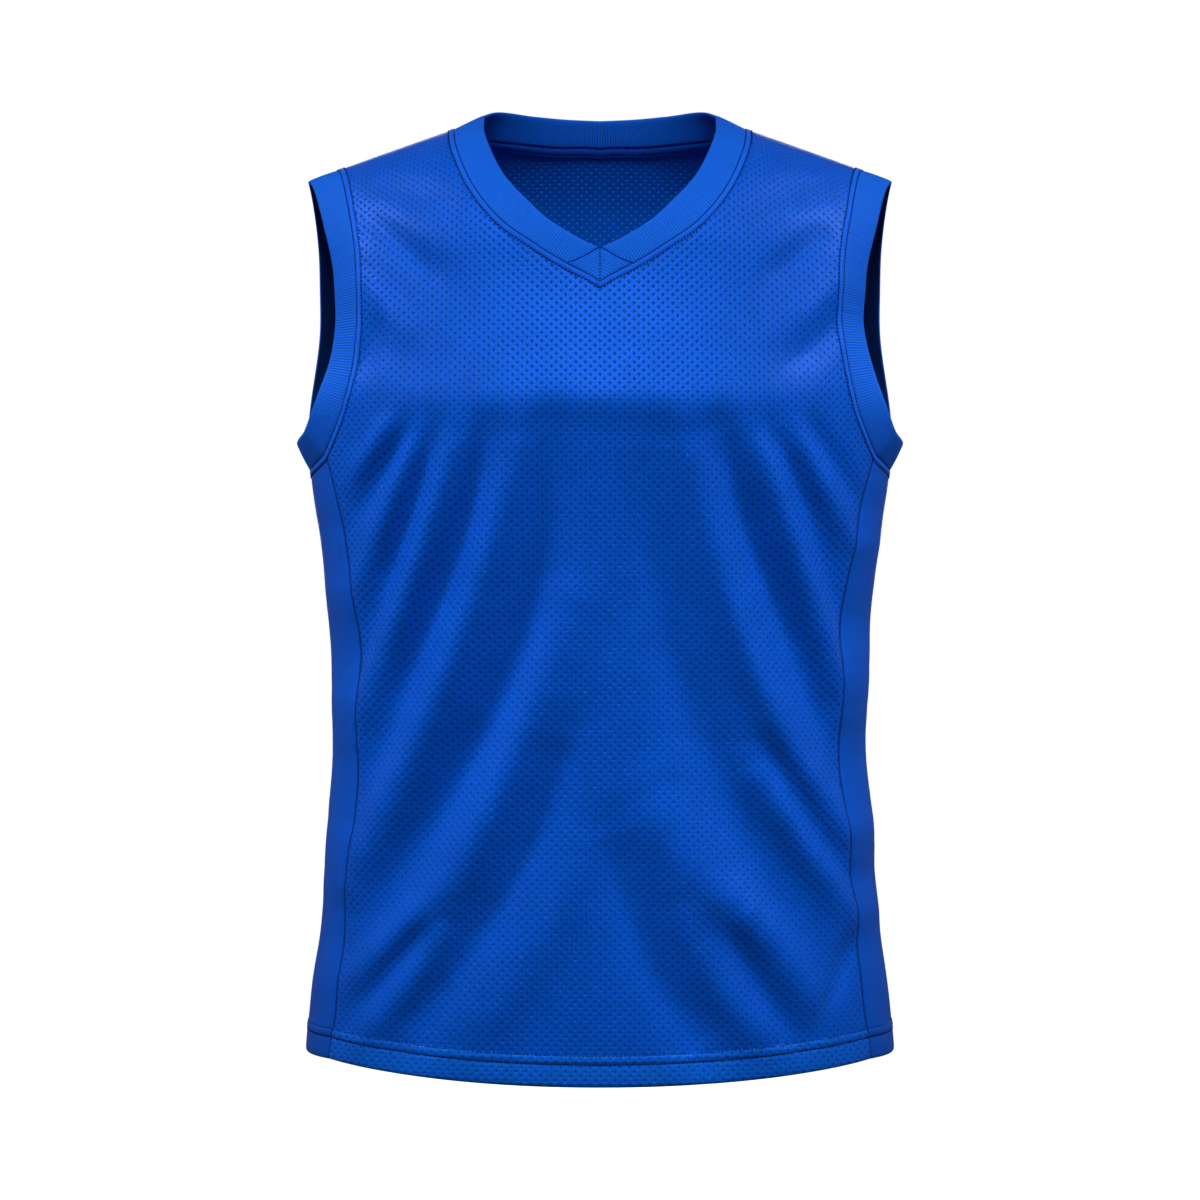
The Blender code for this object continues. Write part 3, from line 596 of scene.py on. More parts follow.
def linear(hex_colour: str) -> tuple[float, float, float, float]:
    """Linear light of an sRGB colour written as six hexadecimal digits.

    Args:
        hex_colour: The colour, without a leading sign.

    Returns:
        Red, green, blue and a full alpha.
    """
    shares = [int(hex_colour[place : place + 2], 16) / 255 for place in (0, 2, 4)]
    light = [s / 12.92 if s <= 0.04045 else ((s + 0.055) / 1.055) ** 2.4 for s in shares]
    return light[0], light[1], light[2], 1.0


def join(value: Any, socket: bpy.types.NodeSocket) -> None:
    """Gives an input its value, or links it to an output or to a node's first output.

    Args:
        value: The value, output socket or node.
        socket: The input.
    """
    if isinstance(value, bpy.types.Node):
        value = value.outputs[0]
    if isinstance(value, bpy.types.NodeSocket):
        socket.id_data.links.new(value, socket)
    else:
        socket.default_value = value


def add_node(
    material: Material,
    kind: str,
    *values: Any,
    settings: dict | None = None,
    stops: Sequence = (),
    **inputs: Any,
) -> bpy.types.Node:
    """Adds one shader node, sets it up and links its inputs.

    Args:
        material: Its material.
        kind: The node's type, without its ShaderNode prefix, and its operation after a space.
        values: Values, output sockets or nodes for its first inputs.
        settings: Other properties of the node.
        stops: Pairs of a place and a hexadecimal colour, for a colour ramp.
        inputs: The same for other inputs, by name.

    Returns:
        The node.
    """
    kind, _, operation = kind.partition(" ")
    node = material.node_tree.nodes.new("ShaderNode" + kind)
    for name, value in (settings or {}).items():
        setattr(node, name, value)
    if operation:
        node.operation = operation
    for place, (share, colour) in enumerate(stops):
        if place < len(node.color_ramp.elements):
            node.color_ramp.elements[place].position = share
        else:
            node.color_ramp.elements.new(share)
        node.color_ramp.elements[place].color = linear(colour)
    named = {name.replace("_", " "): value for name, value in inputs.items()}
    for place, value in (dict(enumerate(values)) | named).items():
        join(value, node.inputs[place])
    return node


def new_material(name: str, roughness: float, sheen: float, gloss: float) -> tuple:
    """An empty cloth material with its constant values on the shader itself.

    Args:
        name: What the material is.
        roughness: Roughness where nothing else sets it.
        sheen: Strength of the soft light along grazing edges.
        gloss: Strength of the reflection, which the dyed fibres tint.

    Returns:
        The material and its shader node.
    """
    material = bpy.data.materials.new(name)
    material.use_nodes = True
    shader = material.node_tree.nodes["Principled BSDF"]
    shader.inputs["Roughness"].default_value = roughness
    shader.inputs["Sheen Weight"].default_value = sheen
    shader.inputs["Sheen Roughness"].default_value = SHEEN_ROUGHNESS
    shader.inputs["Sheen Tint"].default_value = linear(SHEEN_COLOUR)
    shader.inputs["Specular Tint"].default_value = linear(GLOSS_COLOUR)
    shader.inputs["Specular IOR Level"].default_value = gloss
    return material, shader


def raise_surface(material: Material, shader: bpy.types.Node, heights: Sequence) -> None:
    """Chains bumps, each with its depth in metres, onto a shader.

    Args:
        material: The material.
        shader: Its shader node.
        heights: Pairs of a height from zero to one and its depth.
    """
    below = {}
    for height, depth in heights:
        bump = add_node(material, "Bump", Strength=1.0, Distance=depth, Height=height, **below)
        below = {"Normal": bump}
    join(bump, shader.inputs["Normal"])


def cloth_places(material: Material) -> tuple:
    """The cloth's own flat coordinates, in millimetres across and down.

    Args:
        material: Its material.

    Returns:
        The places, then their two numbers.
    """
    flat = add_node(material, "UVMap", settings={"uv_map": CLOTH_MAP})
    scaled = add_node(material, "VectorMath SCALE", flat, Scale=1000.0)
    split = add_node(material, "SeparateXYZ", scaled)
    return scaled, split.outputs["X"], split.outputs["Y"]


def with_groove_shade(material: Material, cloth: Signal) -> Signal:
    """A cloth colour darkened by painted shade in a seam's groove, where the two edges meet.

    Args:
        material: Its material.
        cloth: The cloth's own colour.

    Returns:
        The colour.
    """
    depth = add_node(material, "Attribute", settings={"attribute_name": SEAM_SHADE}).outputs["Fac"]
    shade = add_node(material, "MapRange", depth, 0.0, 1.0, 1.0, 0.25, settings=SMOOTH_STEP)
    return add_node(material, "VectorMath SCALE", cloth, Scale=shade)


def mottled(
    material: Material, flat: Signal, grain_scale: float, grain_share: float
) -> tuple[Signal, Signal]:
    """The uneven tone of a knit: fine grain over wide, soft clouds.

    Args:
        material: Its material.
        flat: The cloth's flat coordinates in millimetres.
        grain_scale: Grains in a millimetre.
        grain_share: How much of the tone the grain makes.

    Returns:
        The tone, then the grain alone.
    """
    cloud = add_node(material, "TexNoise", Vector=flat, Scale=0.035, Detail=3.0)
    grain = add_node(material, "TexNoise", Vector=flat, Scale=grain_scale, Detail=2.0)
    soft = add_node(material, "Math MULTIPLY", cloud, 1 - grain_share)
    return add_node(material, "Math MULTIPLY_ADD", grain, grain_share, soft), grain


@dataclass(frozen=True)
class MeshKnit:
    """Perforated polyester mesh knit.

    Upright columns of small oval holes, each column half a step from the next, with fine
    slanting ribs of thread between them. To the eye it is a soft, slightly silky cloth whose
    holes are dark marks on the outside and light ones on the inside, where the light comes
    through. Both are painted: painted shade on the outside, for the dim hollow seen through the
    holes, and painted light on the inside. Sizes are in millimetres. The holes are drawn a
    little larger than real ones are, so that they show.
    """

    column_step: float = 3.45
    hole_step: float = 6.1
    hole_half_width: float = 0.54
    hole_half_height: float = 1.0
    outside: str = "0452c8"
    # Hole colours are painted shade outside and painted light inside, for what shows through them
    hole: str = "022c7e"
    inside: str = "0458cc"
    inside_hole: str = "3a88ff"
    roughness: float = 0.46
    sheen: float = 0.05
    gloss: float = 0.95
    hole_dent: float = 0.00034
    rib_rise: float = 0.00018
    grain_rise: float = 0.00006

    def hole_shares(self, material: Material, across: Signal, down: Signal) -> Signal:
        """Distance from the nearest hole's middle, where one is the hole's edge.

        Args:
            material: Its material.
            across: Millimetres across the cloth.
            down: Millimetres down the cloth.

        Returns:
            The distance.
        """
        lattices = []
        for shift in (0.0, 0.5):
            offsets = []
            for value, step, half in (
                (across, 2 * self.column_step, self.hole_half_width),
                (down, self.hole_step, self.hole_half_height),
            ):
                cell = add_node(material, "Math MULTIPLY_ADD", value, 1 / step, shift)
                part = add_node(material, "Math FRACT", cell)
                part = add_node(material, "Math SUBTRACT", part, 0.5)
                offset = add_node(material, "Math MULTIPLY", part, step / half)
                offsets.append(add_node(material, "Math POWER", offset, 2.0))
            lattices.append(add_node(material, "Math ADD", *offsets))
        nearest = add_node(material, "Math MINIMUM", *lattices)
        return add_node(material, "Math SQRT", nearest)

    def thread_ribs(self, material: Material, across: Signal, down: Signal) -> Signal:
        """Height of the slanting ribs of thread that cross between the holes.

        Args:
            material: Its material.
            across: Millimetres across the cloth.
            down: Millimetres down the cloth.

        Returns:
            The height, from zero to one.
        """
        waves = []
        for slant in (1, -1):
            turn = math.pi / self.column_step * slant
            columns = add_node(material, "Math MULTIPLY", across, turn)
            turn = 2 * math.pi / self.hole_step
            phase = add_node(material, "Math MULTIPLY_ADD", down, turn, columns)
            phase = add_node(material, "Math ADD", phase, math.pi)
            waves.append(add_node(material, "Math COSINE", phase))
        highest = add_node(material, "Math MAXIMUM", *waves)
        return add_node(material, "Math MULTIPLY_ADD", highest, 0.5, 0.5)

    def dressed(self, name: str, lit_from_behind: bool) -> Material:
        """The knit's material.

        Args:
            name: The material's name.
            lit_from_behind: Whether this is the inside, with bright holes.

        Returns:
            The material.
        """
        material, shader = new_material(name, self.roughness, self.sheen, self.gloss)
        flat, across, down = cloth_places(material)
        # The columns wander by up to 0.75 mm, as knitted ones do.
        wobble = add_node(material, "TexNoise", Vector=flat, Scale=0.11, Detail=2.0)
        drift = add_node(material, "Math MULTIPLY_ADD", wobble, 1.5, -0.75)
        across = add_node(material, "Math ADD", across, drift)
        share = self.hole_shares(material, across, down)
        hole = add_node(material, "MapRange", share, 0.72, 1.12, 1.0, 0.0, settings=SMOOTH_STEP)
        if not lit_from_behind:
            # Below the chest the cloth turns from the light and its holes show less and less.
            place = add_node(material, "TexCoord").outputs["Object"]
            height = add_node(material, "SeparateXYZ", place).outputs["Z"]
            shown = add_node(
                material, "MapRange", height, -0.42, -0.20, 0.5, 1.0, settings=SMOOTH_STEP
            )
            hole = add_node(material, "Math MULTIPLY", hole, shown)
        tone, grain = mottled(material, flat, 1.9, 0.45)
        ground = self.inside if lit_from_behind else self.outside
        painted_opening = linear(self.inside_hole if lit_from_behind else self.hole)
        stops = (0.25, shaded(ground, 0.92)), (0.75, shaded(ground, 1.07))
        cloth = add_node(material, "ValToRGB", tone, stops=stops)
        # Each hole has a slightly darker rim of painted shade, where the threads turn in.
        rim = add_node(material, "MapRange", share, 1.0, 1.9, 0.90, 1.0, settings=SMOOTH_STEP)
        rim_shaded = add_node(material, "VectorMath SCALE", cloth, Scale=rim)
        colour = add_node(material, "MixRGB", hole, rim_shaded, painted_opening)
        join(with_groove_shade(material, colour), shader.inputs["Base Color"])
        # The tops of the threads are rubbed a little smoother than what lies between them.
        ribs = self.thread_ribs(material, across, down)
        rough = add_node(material, "Math MULTIPLY_ADD", ribs, -0.08, self.roughness)
        join(rough, shader.inputs["Roughness"])
        dent = add_node(material, "MapRange", share, 0.5, 1.3, settings=SMOOTH_STEP)
        heights = ((dent, self.hole_dent), (ribs, self.rib_rise), (grain, self.grain_rise))
        raise_surface(material, shader, heights)
        return material


@dataclass(frozen=True)
class PlainKnit:
    """Plain fine jersey knit of the side panels: tiny columns of loops and no holes.

    To the eye it is smooth and even beside the mesh, with a faint grain. The real loops are
    under half a millimetre, so they are drawn twice as wide, in millimetres, to show.
    """

    outside: str = "0352c6"
    loop_step: float = 1.1
    roughness: float = 0.47
    sheen: float = 0.08
    gloss: float = 0.9
    loop_rise: float = 0.00007
    grain_rise: float = 0.00008

    def dressed(self, name: str) -> Material:
        """The knit's material.

        Args:
            name: The material's name.

        Returns:
            The material.
        """
        material, shader = new_material(name, self.roughness, self.sheen, self.gloss)
        flat, across, down = cloth_places(material)
        tone, grain = mottled(material, flat, 1.6, 0.4)
        stops = (0.25, shaded(self.outside, 0.93)), (0.75, shaded(self.outside, 1.06))
        cloth = add_node(material, "ValToRGB", tone, stops=stops)
        join(with_groove_shade(material, cloth), shader.inputs["Base Color"])
        waves = []
        for way in (across, down):
            phase = add_node(material, "Math MULTIPLY", way, 2 * math.pi / self.loop_step)
            waves.append(add_node(material, "Math SINE", phase))
        crossed = add_node(material, "Math MULTIPLY", *waves)
        loops = add_node(material, "Math MULTIPLY_ADD", crossed, 0.5, 0.5)
        raise_surface(material, shader, ((loops, self.loop_rise), (grain, self.grain_rise)))
        return material


@dataclass(frozen=True)
class RibKnit:
    """Doubled rib knit of the bands.

    To the eye it is matt, with fuzz that catches the light on each rib and dark furrows
    between the ribs. Both are painted into its colour from the height on the ribs: painted
    highlight on the rib tops and painted shade in the furrows, and on an armhole band's inside.
    """

    ground: str = "125cd0"
    roughness: float = 0.62
    sheen: float = 0.14
    gloss: float = 0.5
    fuzz_rise: float = 0.00012

    def dressed(self, name: str) -> Material:
        """The rib's material.

        Args:
            name: The material's name.

        Returns:
            The material.
        """
        material, shader = new_material(name, self.roughness, self.sheen, self.gloss)
        flat, _, _ = cloth_places(material)
        rib = add_node(material, "Attribute", settings={"attribute_name": RIB_HEIGHT_AND_SHADE}).outputs["Fac"]
        fuzz = add_node(material, "TexNoise", Vector=flat, Scale=1.4, Detail=3.0)
        ribbed = add_node(material, "Math MULTIPLY", rib, 0.70)
        tone = add_node(material, "Math MULTIPLY_ADD", fuzz, 0.30, ribbed)
        # Low tones take painted shade, in furrows and on an armhole band's inside, high ones
        # painted highlight
        stops = (
            (0.0, shaded(self.ground, 0.30)),
            (0.10, shaded(self.ground, 0.50)),
            (0.48, self.ground),
            (0.82, shaded(self.ground, 1.18)),
        )
        cloth = add_node(material, "ValToRGB", tone, stops=stops)
        join(cloth, shader.inputs["Base Color"])
        raise_surface(material, shader, ((fuzz, self.fuzz_rise),))
        return material


@dataclass(frozen=True)
class SmoothTape:
    """Fine woven polyester tape, and cloth pressed flat over a seam's allowance.

    To the eye it is close and faintly twilled, smoother than the rib beside it. The twill's
    lines are drawn about 1 mm apart, twice as wide as real ones, to show.
    """

    ground: str = "0a50c0"
    shaded_edges: bool = False
    roughness: float = 0.52
    sheen: float = 0.08
    gloss: float = 0.6
    twill_turn: float = 6.0
    twill_rise: float = 0.00005
    grain_rise: float = 0.00007

    def dressed(self, name: str) -> Material:
        """The tape's material.

        Args:
            name: The material's name.

        Returns:
            The material.
        """
        material, shader = new_material(name, self.roughness, self.sheen, self.gloss)
        flat, across, down = cloth_places(material)
        grain = add_node(material, "TexNoise", Vector=flat, Scale=1.2, Detail=2.0)
        stops = (0.3, shaded(self.ground, 0.84)), (0.7, shaded(self.ground, 1.12))
        cloth = add_node(material, "ValToRGB", grain, stops=stops)
        if self.shaded_edges:
            # The strip's top runs from 0.7 to 5.4 mm round its section. Its sides drop into
            # the seam and so are in shade.
            edges = []
            for sizes in ((0.7, 1.2, 0.25, 1.0), (4.7, 5.3, 1.0, 0.25)):
                edges.append(add_node(material, "MapRange", down, *sizes, settings=SMOOTH_STEP))
            edge = add_node(material, "Math MULTIPLY", *edges)
            cloth = add_node(material, "VectorMath SCALE", cloth, Scale=edge)
        join(cloth, shader.inputs["Base Color"])
        slant = add_node(material, "Math ADD", across, down)
        phase = add_node(material, "Math MULTIPLY", slant, self.twill_turn)
        twill = add_node(material, "Math SINE", phase)
        raise_surface(material, shader, ((twill, self.twill_rise), (grain, self.grain_rise)))
        return material


@dataclass(frozen=True)
class SewingThread:
    """Twisted polyester sewing thread.

    To the eye it is a row of small dark dashes, because each stitch is sunk in the cloth.
    Its colour is made dark as painted shade for that sinking.
    """

    # The thread's blue darkened to painted shade
    ground: str = "041c5c"
    roughness: float = 0.40
    sheen: float = 0.04
    gloss: float = 0.8
    twist_rise: float = 0.00008

    def dressed(self, name: str) -> Material:
        """The thread's material.

        Args:
            name: The material's name.

        Returns:
            The material.
        """
        material, shader = new_material(name, self.roughness, self.sheen, self.gloss)
        place = add_node(material, "TexCoord").outputs["Object"]
        twist = add_node(material, "TexNoise", Vector=place, Scale=900.0, Detail=1.0)
        stops = (0.3, shaded(self.ground, 0.75)), (0.7, self.ground)
        join(add_node(material, "ValToRGB", twist, stops=stops), shader.inputs["Base Color"])
        raise_surface(material, shader, ((twist, self.twist_rise),))
        return material


def shaded(hex_colour: str, share: float) -> str:
    """A colour of six hexadecimal digits, made darker or lighter."""
    parts = [int(hex_colour[place : place + 2], 16) for place in (0, 2, 4)]
    return "".join(f"{min(255, round(part * share)):02x}" for part in parts)


class Finishes:
    """Every finish of the jersey, made once."""

    def __init__(self) -> None:
        """Makes the materials."""
        # Through the neck the holes are seen at a slant, so they look wider and less tall.
        lit = MeshKnit(hole_half_width=0.66, hole_half_height=0.76)
        # Where the mesh is doubled, cloth lies behind the holes and makes them pale.
        doubled = MeshKnit(outside="0a60d8", hole="0448b0")
        self.mesh_outside = MeshKnit().dressed("mesh_knit_outside", False)
        self.mesh_inside = lit.dressed("mesh_knit_inside", True)
        self.mesh_doubled = doubled.dressed("mesh_knit_doubled", False)
        self.plain = PlainKnit().dressed("plain_jersey_knit")
        self.rib = RibKnit().dressed("rib_knit")
        self.tape = SmoothTape().dressed("neck_seam_tape")
        allowance = SmoothTape(ground="145ede", shaded_edges=True)
        self.allowance = allowance.dressed("covered_seam_allowance")
        self.thread = SewingThread().dressed("sewing_thread")


@dataclass
class Wall:
    """Points, outward normals, flat places and quads of a piece of cloth before it is closed."""

    points: Array
    normals: Array
    flat: Array
    quads: Array

    @staticmethod
    def from_grids(grids: Sequence[tuple]) -> "Wall":
        """Joins grids of (points, normals, flat places) along their equal points.

        Args:
            grids: The grids, each wound so that its quads face outwards.

        Returns:
            One wall with its equal points made one.
        """
        quads, first = [], 0
        for points, _, _ in grids:
            rows, columns = points.shape[:2]
            places = np.arange(rows * columns).reshape(rows, columns) + first
            first += rows * columns
            low, high = places[:-1], places[1:]
            corners = [low[:, :-1], low[:, 1:], high[:, 1:], high[:, :-1]]
            quads.append(np.stack(corners, -1).reshape(-1, 4))
        points, normals, flat = (
            np.concatenate([own.reshape(-1, own.shape[-1]) for own in part]) for part in zip(*grids)
        )
        keys = np.round(points / SAME_PLACE).astype(np.int64)
        _, kept, joined = np.unique(keys, axis=0, return_index=True, return_inverse=True)
        quads = joined.reshape(-1)[np.concatenate(quads)]
        return Wall(points[kept], normals[kept], flat[kept], quads)

    def closed(self, thickness: float) -> tuple[Array, Array, Array, Array]:
        """The wall with its inside and rim.

        Args:
            thickness: The wall's thickness.

        Returns:
            Points, faces, flat places, and 0, 1 or 2 for each outer, inner or rim face.
        """
        count = len(self.points)
        points = np.concatenate([self.points, self.points - self.normals * thickness])
        edges = np.concatenate([self.quads[:, [a, (a + 1) % 4]] for a in range(4)])
        back = edges[:, 1] * count + edges[:, 0]
        rim = edges[~np.isin(edges[:, 0] * count + edges[:, 1], back)]
        rim = np.stack([rim[:, 1], rim[:, 0], rim[:, 0] + count, rim[:, 1] + count], -1)
        faces = np.concatenate([self.quads, self.quads[:, ::-1] + count, rim])
        kinds = np.repeat([0, 1, 2], [len(self.quads), len(self.quads), len(rim)])
        return points, faces, np.concatenate([self.flat, self.flat]), kinds


def make_piece(
    name: str,
    points: Array,
    faces: Sequence,
    flat: Array,
    finishes: Sequence[Material],
    kinds: Array | None = None,
    levels: Array | None = None,
    groove_shades: Array | None = None,
) -> Piece:
    """Makes one closed piece with its own flat map.

    Args:
        name: The piece's name.
        points: Its points.
        faces: Its faces, as point numbers.
        flat: Flat cloth places in metres, one for each point.
        finishes: Its materials.
        kinds: Which material each face has.
        levels: Height on its ribs, from zero to one, for each point, which sets painted highlight
            and shade. It is below zero where painted shade darkens a band's inside.
        groove_shades: How much painted shade each point takes down in a seam's groove, from zero to
            one.

    Returns:
        The piece.
    """
    data = bpy.data.meshes.new(name)
    data.from_pydata(np.asarray(points).tolist(), [], np.asarray(faces).tolist())
    flat_map = data.uv_layers.new(name=CLOTH_MAP)
    corners = np.empty(len(data.loops), dtype=np.int32)
    data.loops.foreach_get("vertex_index", corners)
    flat_map.data.foreach_set("uv", np.asarray(flat, np.float32)[corners].ravel())
    if kinds is not None:
        data.polygons.foreach_set("material_index", np.asarray(kinds, np.int32))
    for key, values in ((RIB_HEIGHT_AND_SHADE, levels), (SEAM_SHADE, groove_shades)):
        if values is not None:
            attribute = data.attributes.new(key, "FLOAT", "POINT")
            attribute.data.foreach_set("value", np.asarray(values, np.float32))
    solid = bmesh.new()
    solid.from_mesh(data)
    bmesh.ops.recalc_face_normals(solid, faces=solid.faces)
    solid.to_mesh(data)
    solid.free()
    data.shade_smooth()
    data.set_sharp_from_angle(angle=SHARP_ANGLE)
    for finish in finishes:
        data.materials.append(finish)
    piece = bpy.data.objects.new(name, data)
    bpy.context.scene.collection.objects.link(piece)
    LOG.info("%s: %d faces", name, len(data.polygons))
    return piece


def put_in_place(piece: Piece, nodes: Sequence[str] = ()) -> None:
    """Hangs a piece on the jersey.

    Args:
        piece: The piece.
        nodes: The solids that it stands for.
    """
    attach(piece, "root")
    if nodes:
        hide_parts(*nodes)


def filled(
    bottom: Array,
    top: Array,
    inner: Array,
    outer: Array,
    columns: Array,
    rows: Array,
) -> Array:
    """A net of places whose four edges are the given lines.

    Args:
        bottom: Lowest line.
        top: Highest line.
        inner: Line at the first column.
        outer: Line at the last column.
        columns: Share of each column from the inner to the outer line.
        rows: Share of each row from the bottom to the top line.

    Returns:
        Places in rows and columns.
    """
    u, v = columns[None, :, None], rows[:, None, None]
    across = (1 - u) * inner[:, None] + u * outer[:, None]
    upward = (1 - v) * bottom[None] + v * top[None]
    corners = (1 - u) * (1 - v) * bottom[0] + u * (1 - v) * bottom[-1]
    return across + upward - corners - (1 - u) * v * top[0] - u * v * top[-1]


@dataclass
class SeamLines:
    """The jersey's seams, as places on the body form."""

    form: BodyForm
    side_rows: int = 110
    armhole_rows: int = 56
    neck_cells: int = 44

    def side(self) -> Array:
        """Side seam from the hem line up to the underarm.

        Returns:
            The seam as x and z.
        """
        end = self.form.side_seam_x(self.form.hem_side_z)
        bottom = self.form.hem_height(end) + self.form.hem_width
        z = np.linspace(bottom, UNDERARM.z, self.side_rows + 1)
        return np.column_stack([self.form.side_seam_x(z), z])

    def armhole(self, side: Side, count: int) -> Array:
        """Armhole seam from the underarm up to the shoulder tip.

        Args:
            side: Front or back.
            count: Number of cells.

        Returns:
            The seam as x and drop.
        """
        line = [(row.x, float(self.form.drop_at(side, row.x, row.z))) for row in ARMHOLES[side]]
        line = np.array(line + [(SHOULDER_TIP_X, 0.0)])
        knots = running_length(line)
        return smooth(np.linspace(0, knots[-1], count + 1), knots, line)

    def neck(self, side: Side, count: int) -> tuple[Array, Array]:
        """Half a neck seam from its middle to the shoulder.

        Args:
            side: Front or back.
            count: Number of cells.

        Returns:
            The seam as x and drop, and the band's free edge beside it.
        """
        rows = NECKS[side]
        drops = [float(self.form.drop_at(side, row.seam_x, row.seam_z)) for row in rows]
        line = np.column_stack([[row.seam_x for row in rows], drops])
        line[-1, 1] = 0.0
        knots = running_length(line)
        places = np.linspace(0, knots[-1], count + 1)
        return smooth(places, knots, line), smooth(places, knots, [row[2:] for row in rows])


@dataclass
class MainPanels:
    """Front, back and side panels: the jersey's main cloth.

    Along each side seam the cloth dips into a groove, whose line of painted shade is line_width
    wide, and swells a little over the allowance beside it, which is the welt.
    """

    form: BodyForm
    seams: SeamLines
    finishes: Finishes
    thickness: float = 0.0015
    half_cells: int = 50
    even_share: float = 0.96
    flank_cells: int = 30
    flank_crowding: float = 0.65
    groove_depth: float = 0.0008
    groove_width: float = 0.0017
    groove_end_rows: int = 4
    line_width: float = 0.0009
    welt_share: float = 0.35
    welt_place: float = 0.0045
    welt_width: float = 0.0022

    def half_places(self, side: Side) -> Array:
        """Places of half a panel.

        Args:
            side: Front or back.

        Returns:
            x and drop, in rows from the hem up.
        """
        form, seams = self.form, self.seams
        seam = seams.side()
        lower = np.column_stack([seam[:, 0], form.drop_at(side, seam[:, 0], seam[:, 1])])
        outer = np.vstack([lower, seams.armhole(side, seams.armhole_rows)[1:]])
        neck = seams.neck(side, seams.neck_cells)[0]
        hem_drop = float(form.drop_at(side, 0.0, form.hem_height(0.0) + form.hem_width))
        middle = np.linspace(hem_drop, neck[0, 1], len(outer) - len(neck) + 1)
        inner = np.vstack([np.column_stack([0 * middle, middle])[:-1], neck])
        even = np.linspace(0, self.even_share, self.half_cells - len(SEAM_COLUMNS))
        columns = np.concatenate([even, SEAM_COLUMNS])
        x = outer[0, 0] * columns
        bottom = np.column_stack([x, form.drop_at(side, x, form.hem_height(x) + form.hem_width)])
        x = NECK_POINT_X + (SHOULDER_TIP_X - NECK_POINT_X) * columns
        top = np.column_stack([x, 0 * x])
        return filled(bottom, top, inner, outer, columns, np.linspace(0, 1, len(outer)))

    def groove(self, points: Array, normals: Array) -> tuple[Array, Array]:
        """The same points, pulled in along the side seam that ends each row.

        Args:
            points: Points in rows that end at the side seam.
            normals: Their outward normals.

        Returns:
            The points with the groove, and the painted shade along its line at each one.
        """
        away = running_widths(points[:, ::-1])[:, ::-1]
        left = self.seams.side_rows - np.arange(len(points))
        below = np.clip(left / self.groove_end_rows, 0, 1)[:, None]
        depth = self.groove_depth * np.exp(-((away / self.groove_width) ** 2)) * below
        swell = np.exp(-(((away - self.welt_place) / self.welt_width) ** 2))
        welt = self.welt_share * self.groove_depth * swell * below
        # Painted shade darkens a narrow line down the groove's middle.
        line = np.exp(-((away / self.line_width) ** 2))
        shade = line * np.minimum(below * self.groove_end_rows, 1)
        return points + normals * (welt - depth)[..., None], shade

    def body_panel(self, side: Side, name: str, node: str) -> Piece:
        """The front or back panel.

        Args:
            side: Front or back.
            name: The piece's name.
            node: The solid that it stands for.

        Returns:
            The panel.
        """
        places = self.half_places(side)
        grids = []
        for hand in Hand:
            own = places * (hand.value, 1)
            points, normals = self.form.face_cloth(side, own)
            points, shade = self.groove(points, normals)
            flat = np.dstack([self.form.cloth_map(side, own), shade])
            turn = slice(None, None, hand.value * -side.value)
            grids.append((points[:, turn], normals[:, turn], flat[:, turn]))
        wall = Wall.from_grids(grids)
        points, faces, flat, kinds = wall.closed(self.thickness)
        knit = self.finishes.mesh_outside, self.finishes.mesh_inside
        inside = np.where(kinds == 1, 1, 0)
        piece = make_piece(name, points, faces, flat[:, :2], knit, inside, groove_shades=flat[:, 2])
        put_in_place(piece, [node])
        return piece

    def flank(self, hand: Hand) -> Piece:
        """One side panel, whose columns crowd up to its two seams.

        Args:
            hand: Which side.

        Returns:
            The panel.
        """
        even = np.linspace(0, 1, self.flank_cells + 1)
        crowded = 0.5 - 0.5 * np.cos(np.pi * even)
        share = (1 - self.flank_crowding) * even + self.flank_crowding * crowded
        share = share[None, :]
        rise = np.linspace(0, 1, self.seams.side_rows + 1)[:, None]
        bottom = float(self.seams.side()[0, 1])
        top = self.form.underarm_height(share)
        z = bottom + (top - bottom) * rise
        share = np.broadcast_to(share, z.shape)
        points, normals = self.form.flank_cloth(hand, share, z)
        for column, side in ((0, Side.FRONT), (-1, Side.BACK)):
            seam = self.seams.side() * (hand.value, 1)
            drop = self.form.drop_at(side, seam[:, 0], seam[:, 1])
            own = self.form.face_cloth(side, np.column_stack([seam[:, 0], drop]))
            points[:, column], normals[:, column] = own
        half = self.flank_cells // 2
        shade = np.zeros_like(z)
        for own in (slice(half, None), slice(half, None, -1)):
            points[:, own], shade[:, own] = self.groove(points[:, own], normals[:, own])
        around = running_widths(points)
        flat = np.stack([around - around[:, -1:] / 2, z, shade], axis=-1)
        turn = slice(None, None, hand.value)
        wall = Wall.from_grids([(points[:, turn], normals[:, turn], flat[:, turn])])
        points, faces, flat, _ = wall.closed(self.thickness)
        name = f"side_cloth_{hand.label}"
        knit = (self.finishes.plain,)
        piece = make_piece(name, points, faces, flat[:, :2], knit, groove_shades=flat[:, 2])
        put_in_place(piece, [f"side_panel_{hand.label}"])
        return piece

    def build(self) -> dict[str, Piece]:
        """Makes the four panels.

        Returns:
            The panels by name.
        """
        pieces = {
            "front_cloth": self.body_panel(Side.FRONT, "front_cloth", "front_panel"),
            "back_cloth": self.body_panel(Side.BACK, "back_cloth", "back_panel"),
        }
        for hand in Hand:
            piece = self.flank(hand)
            pieces[piece.name] = piece
        return pieces


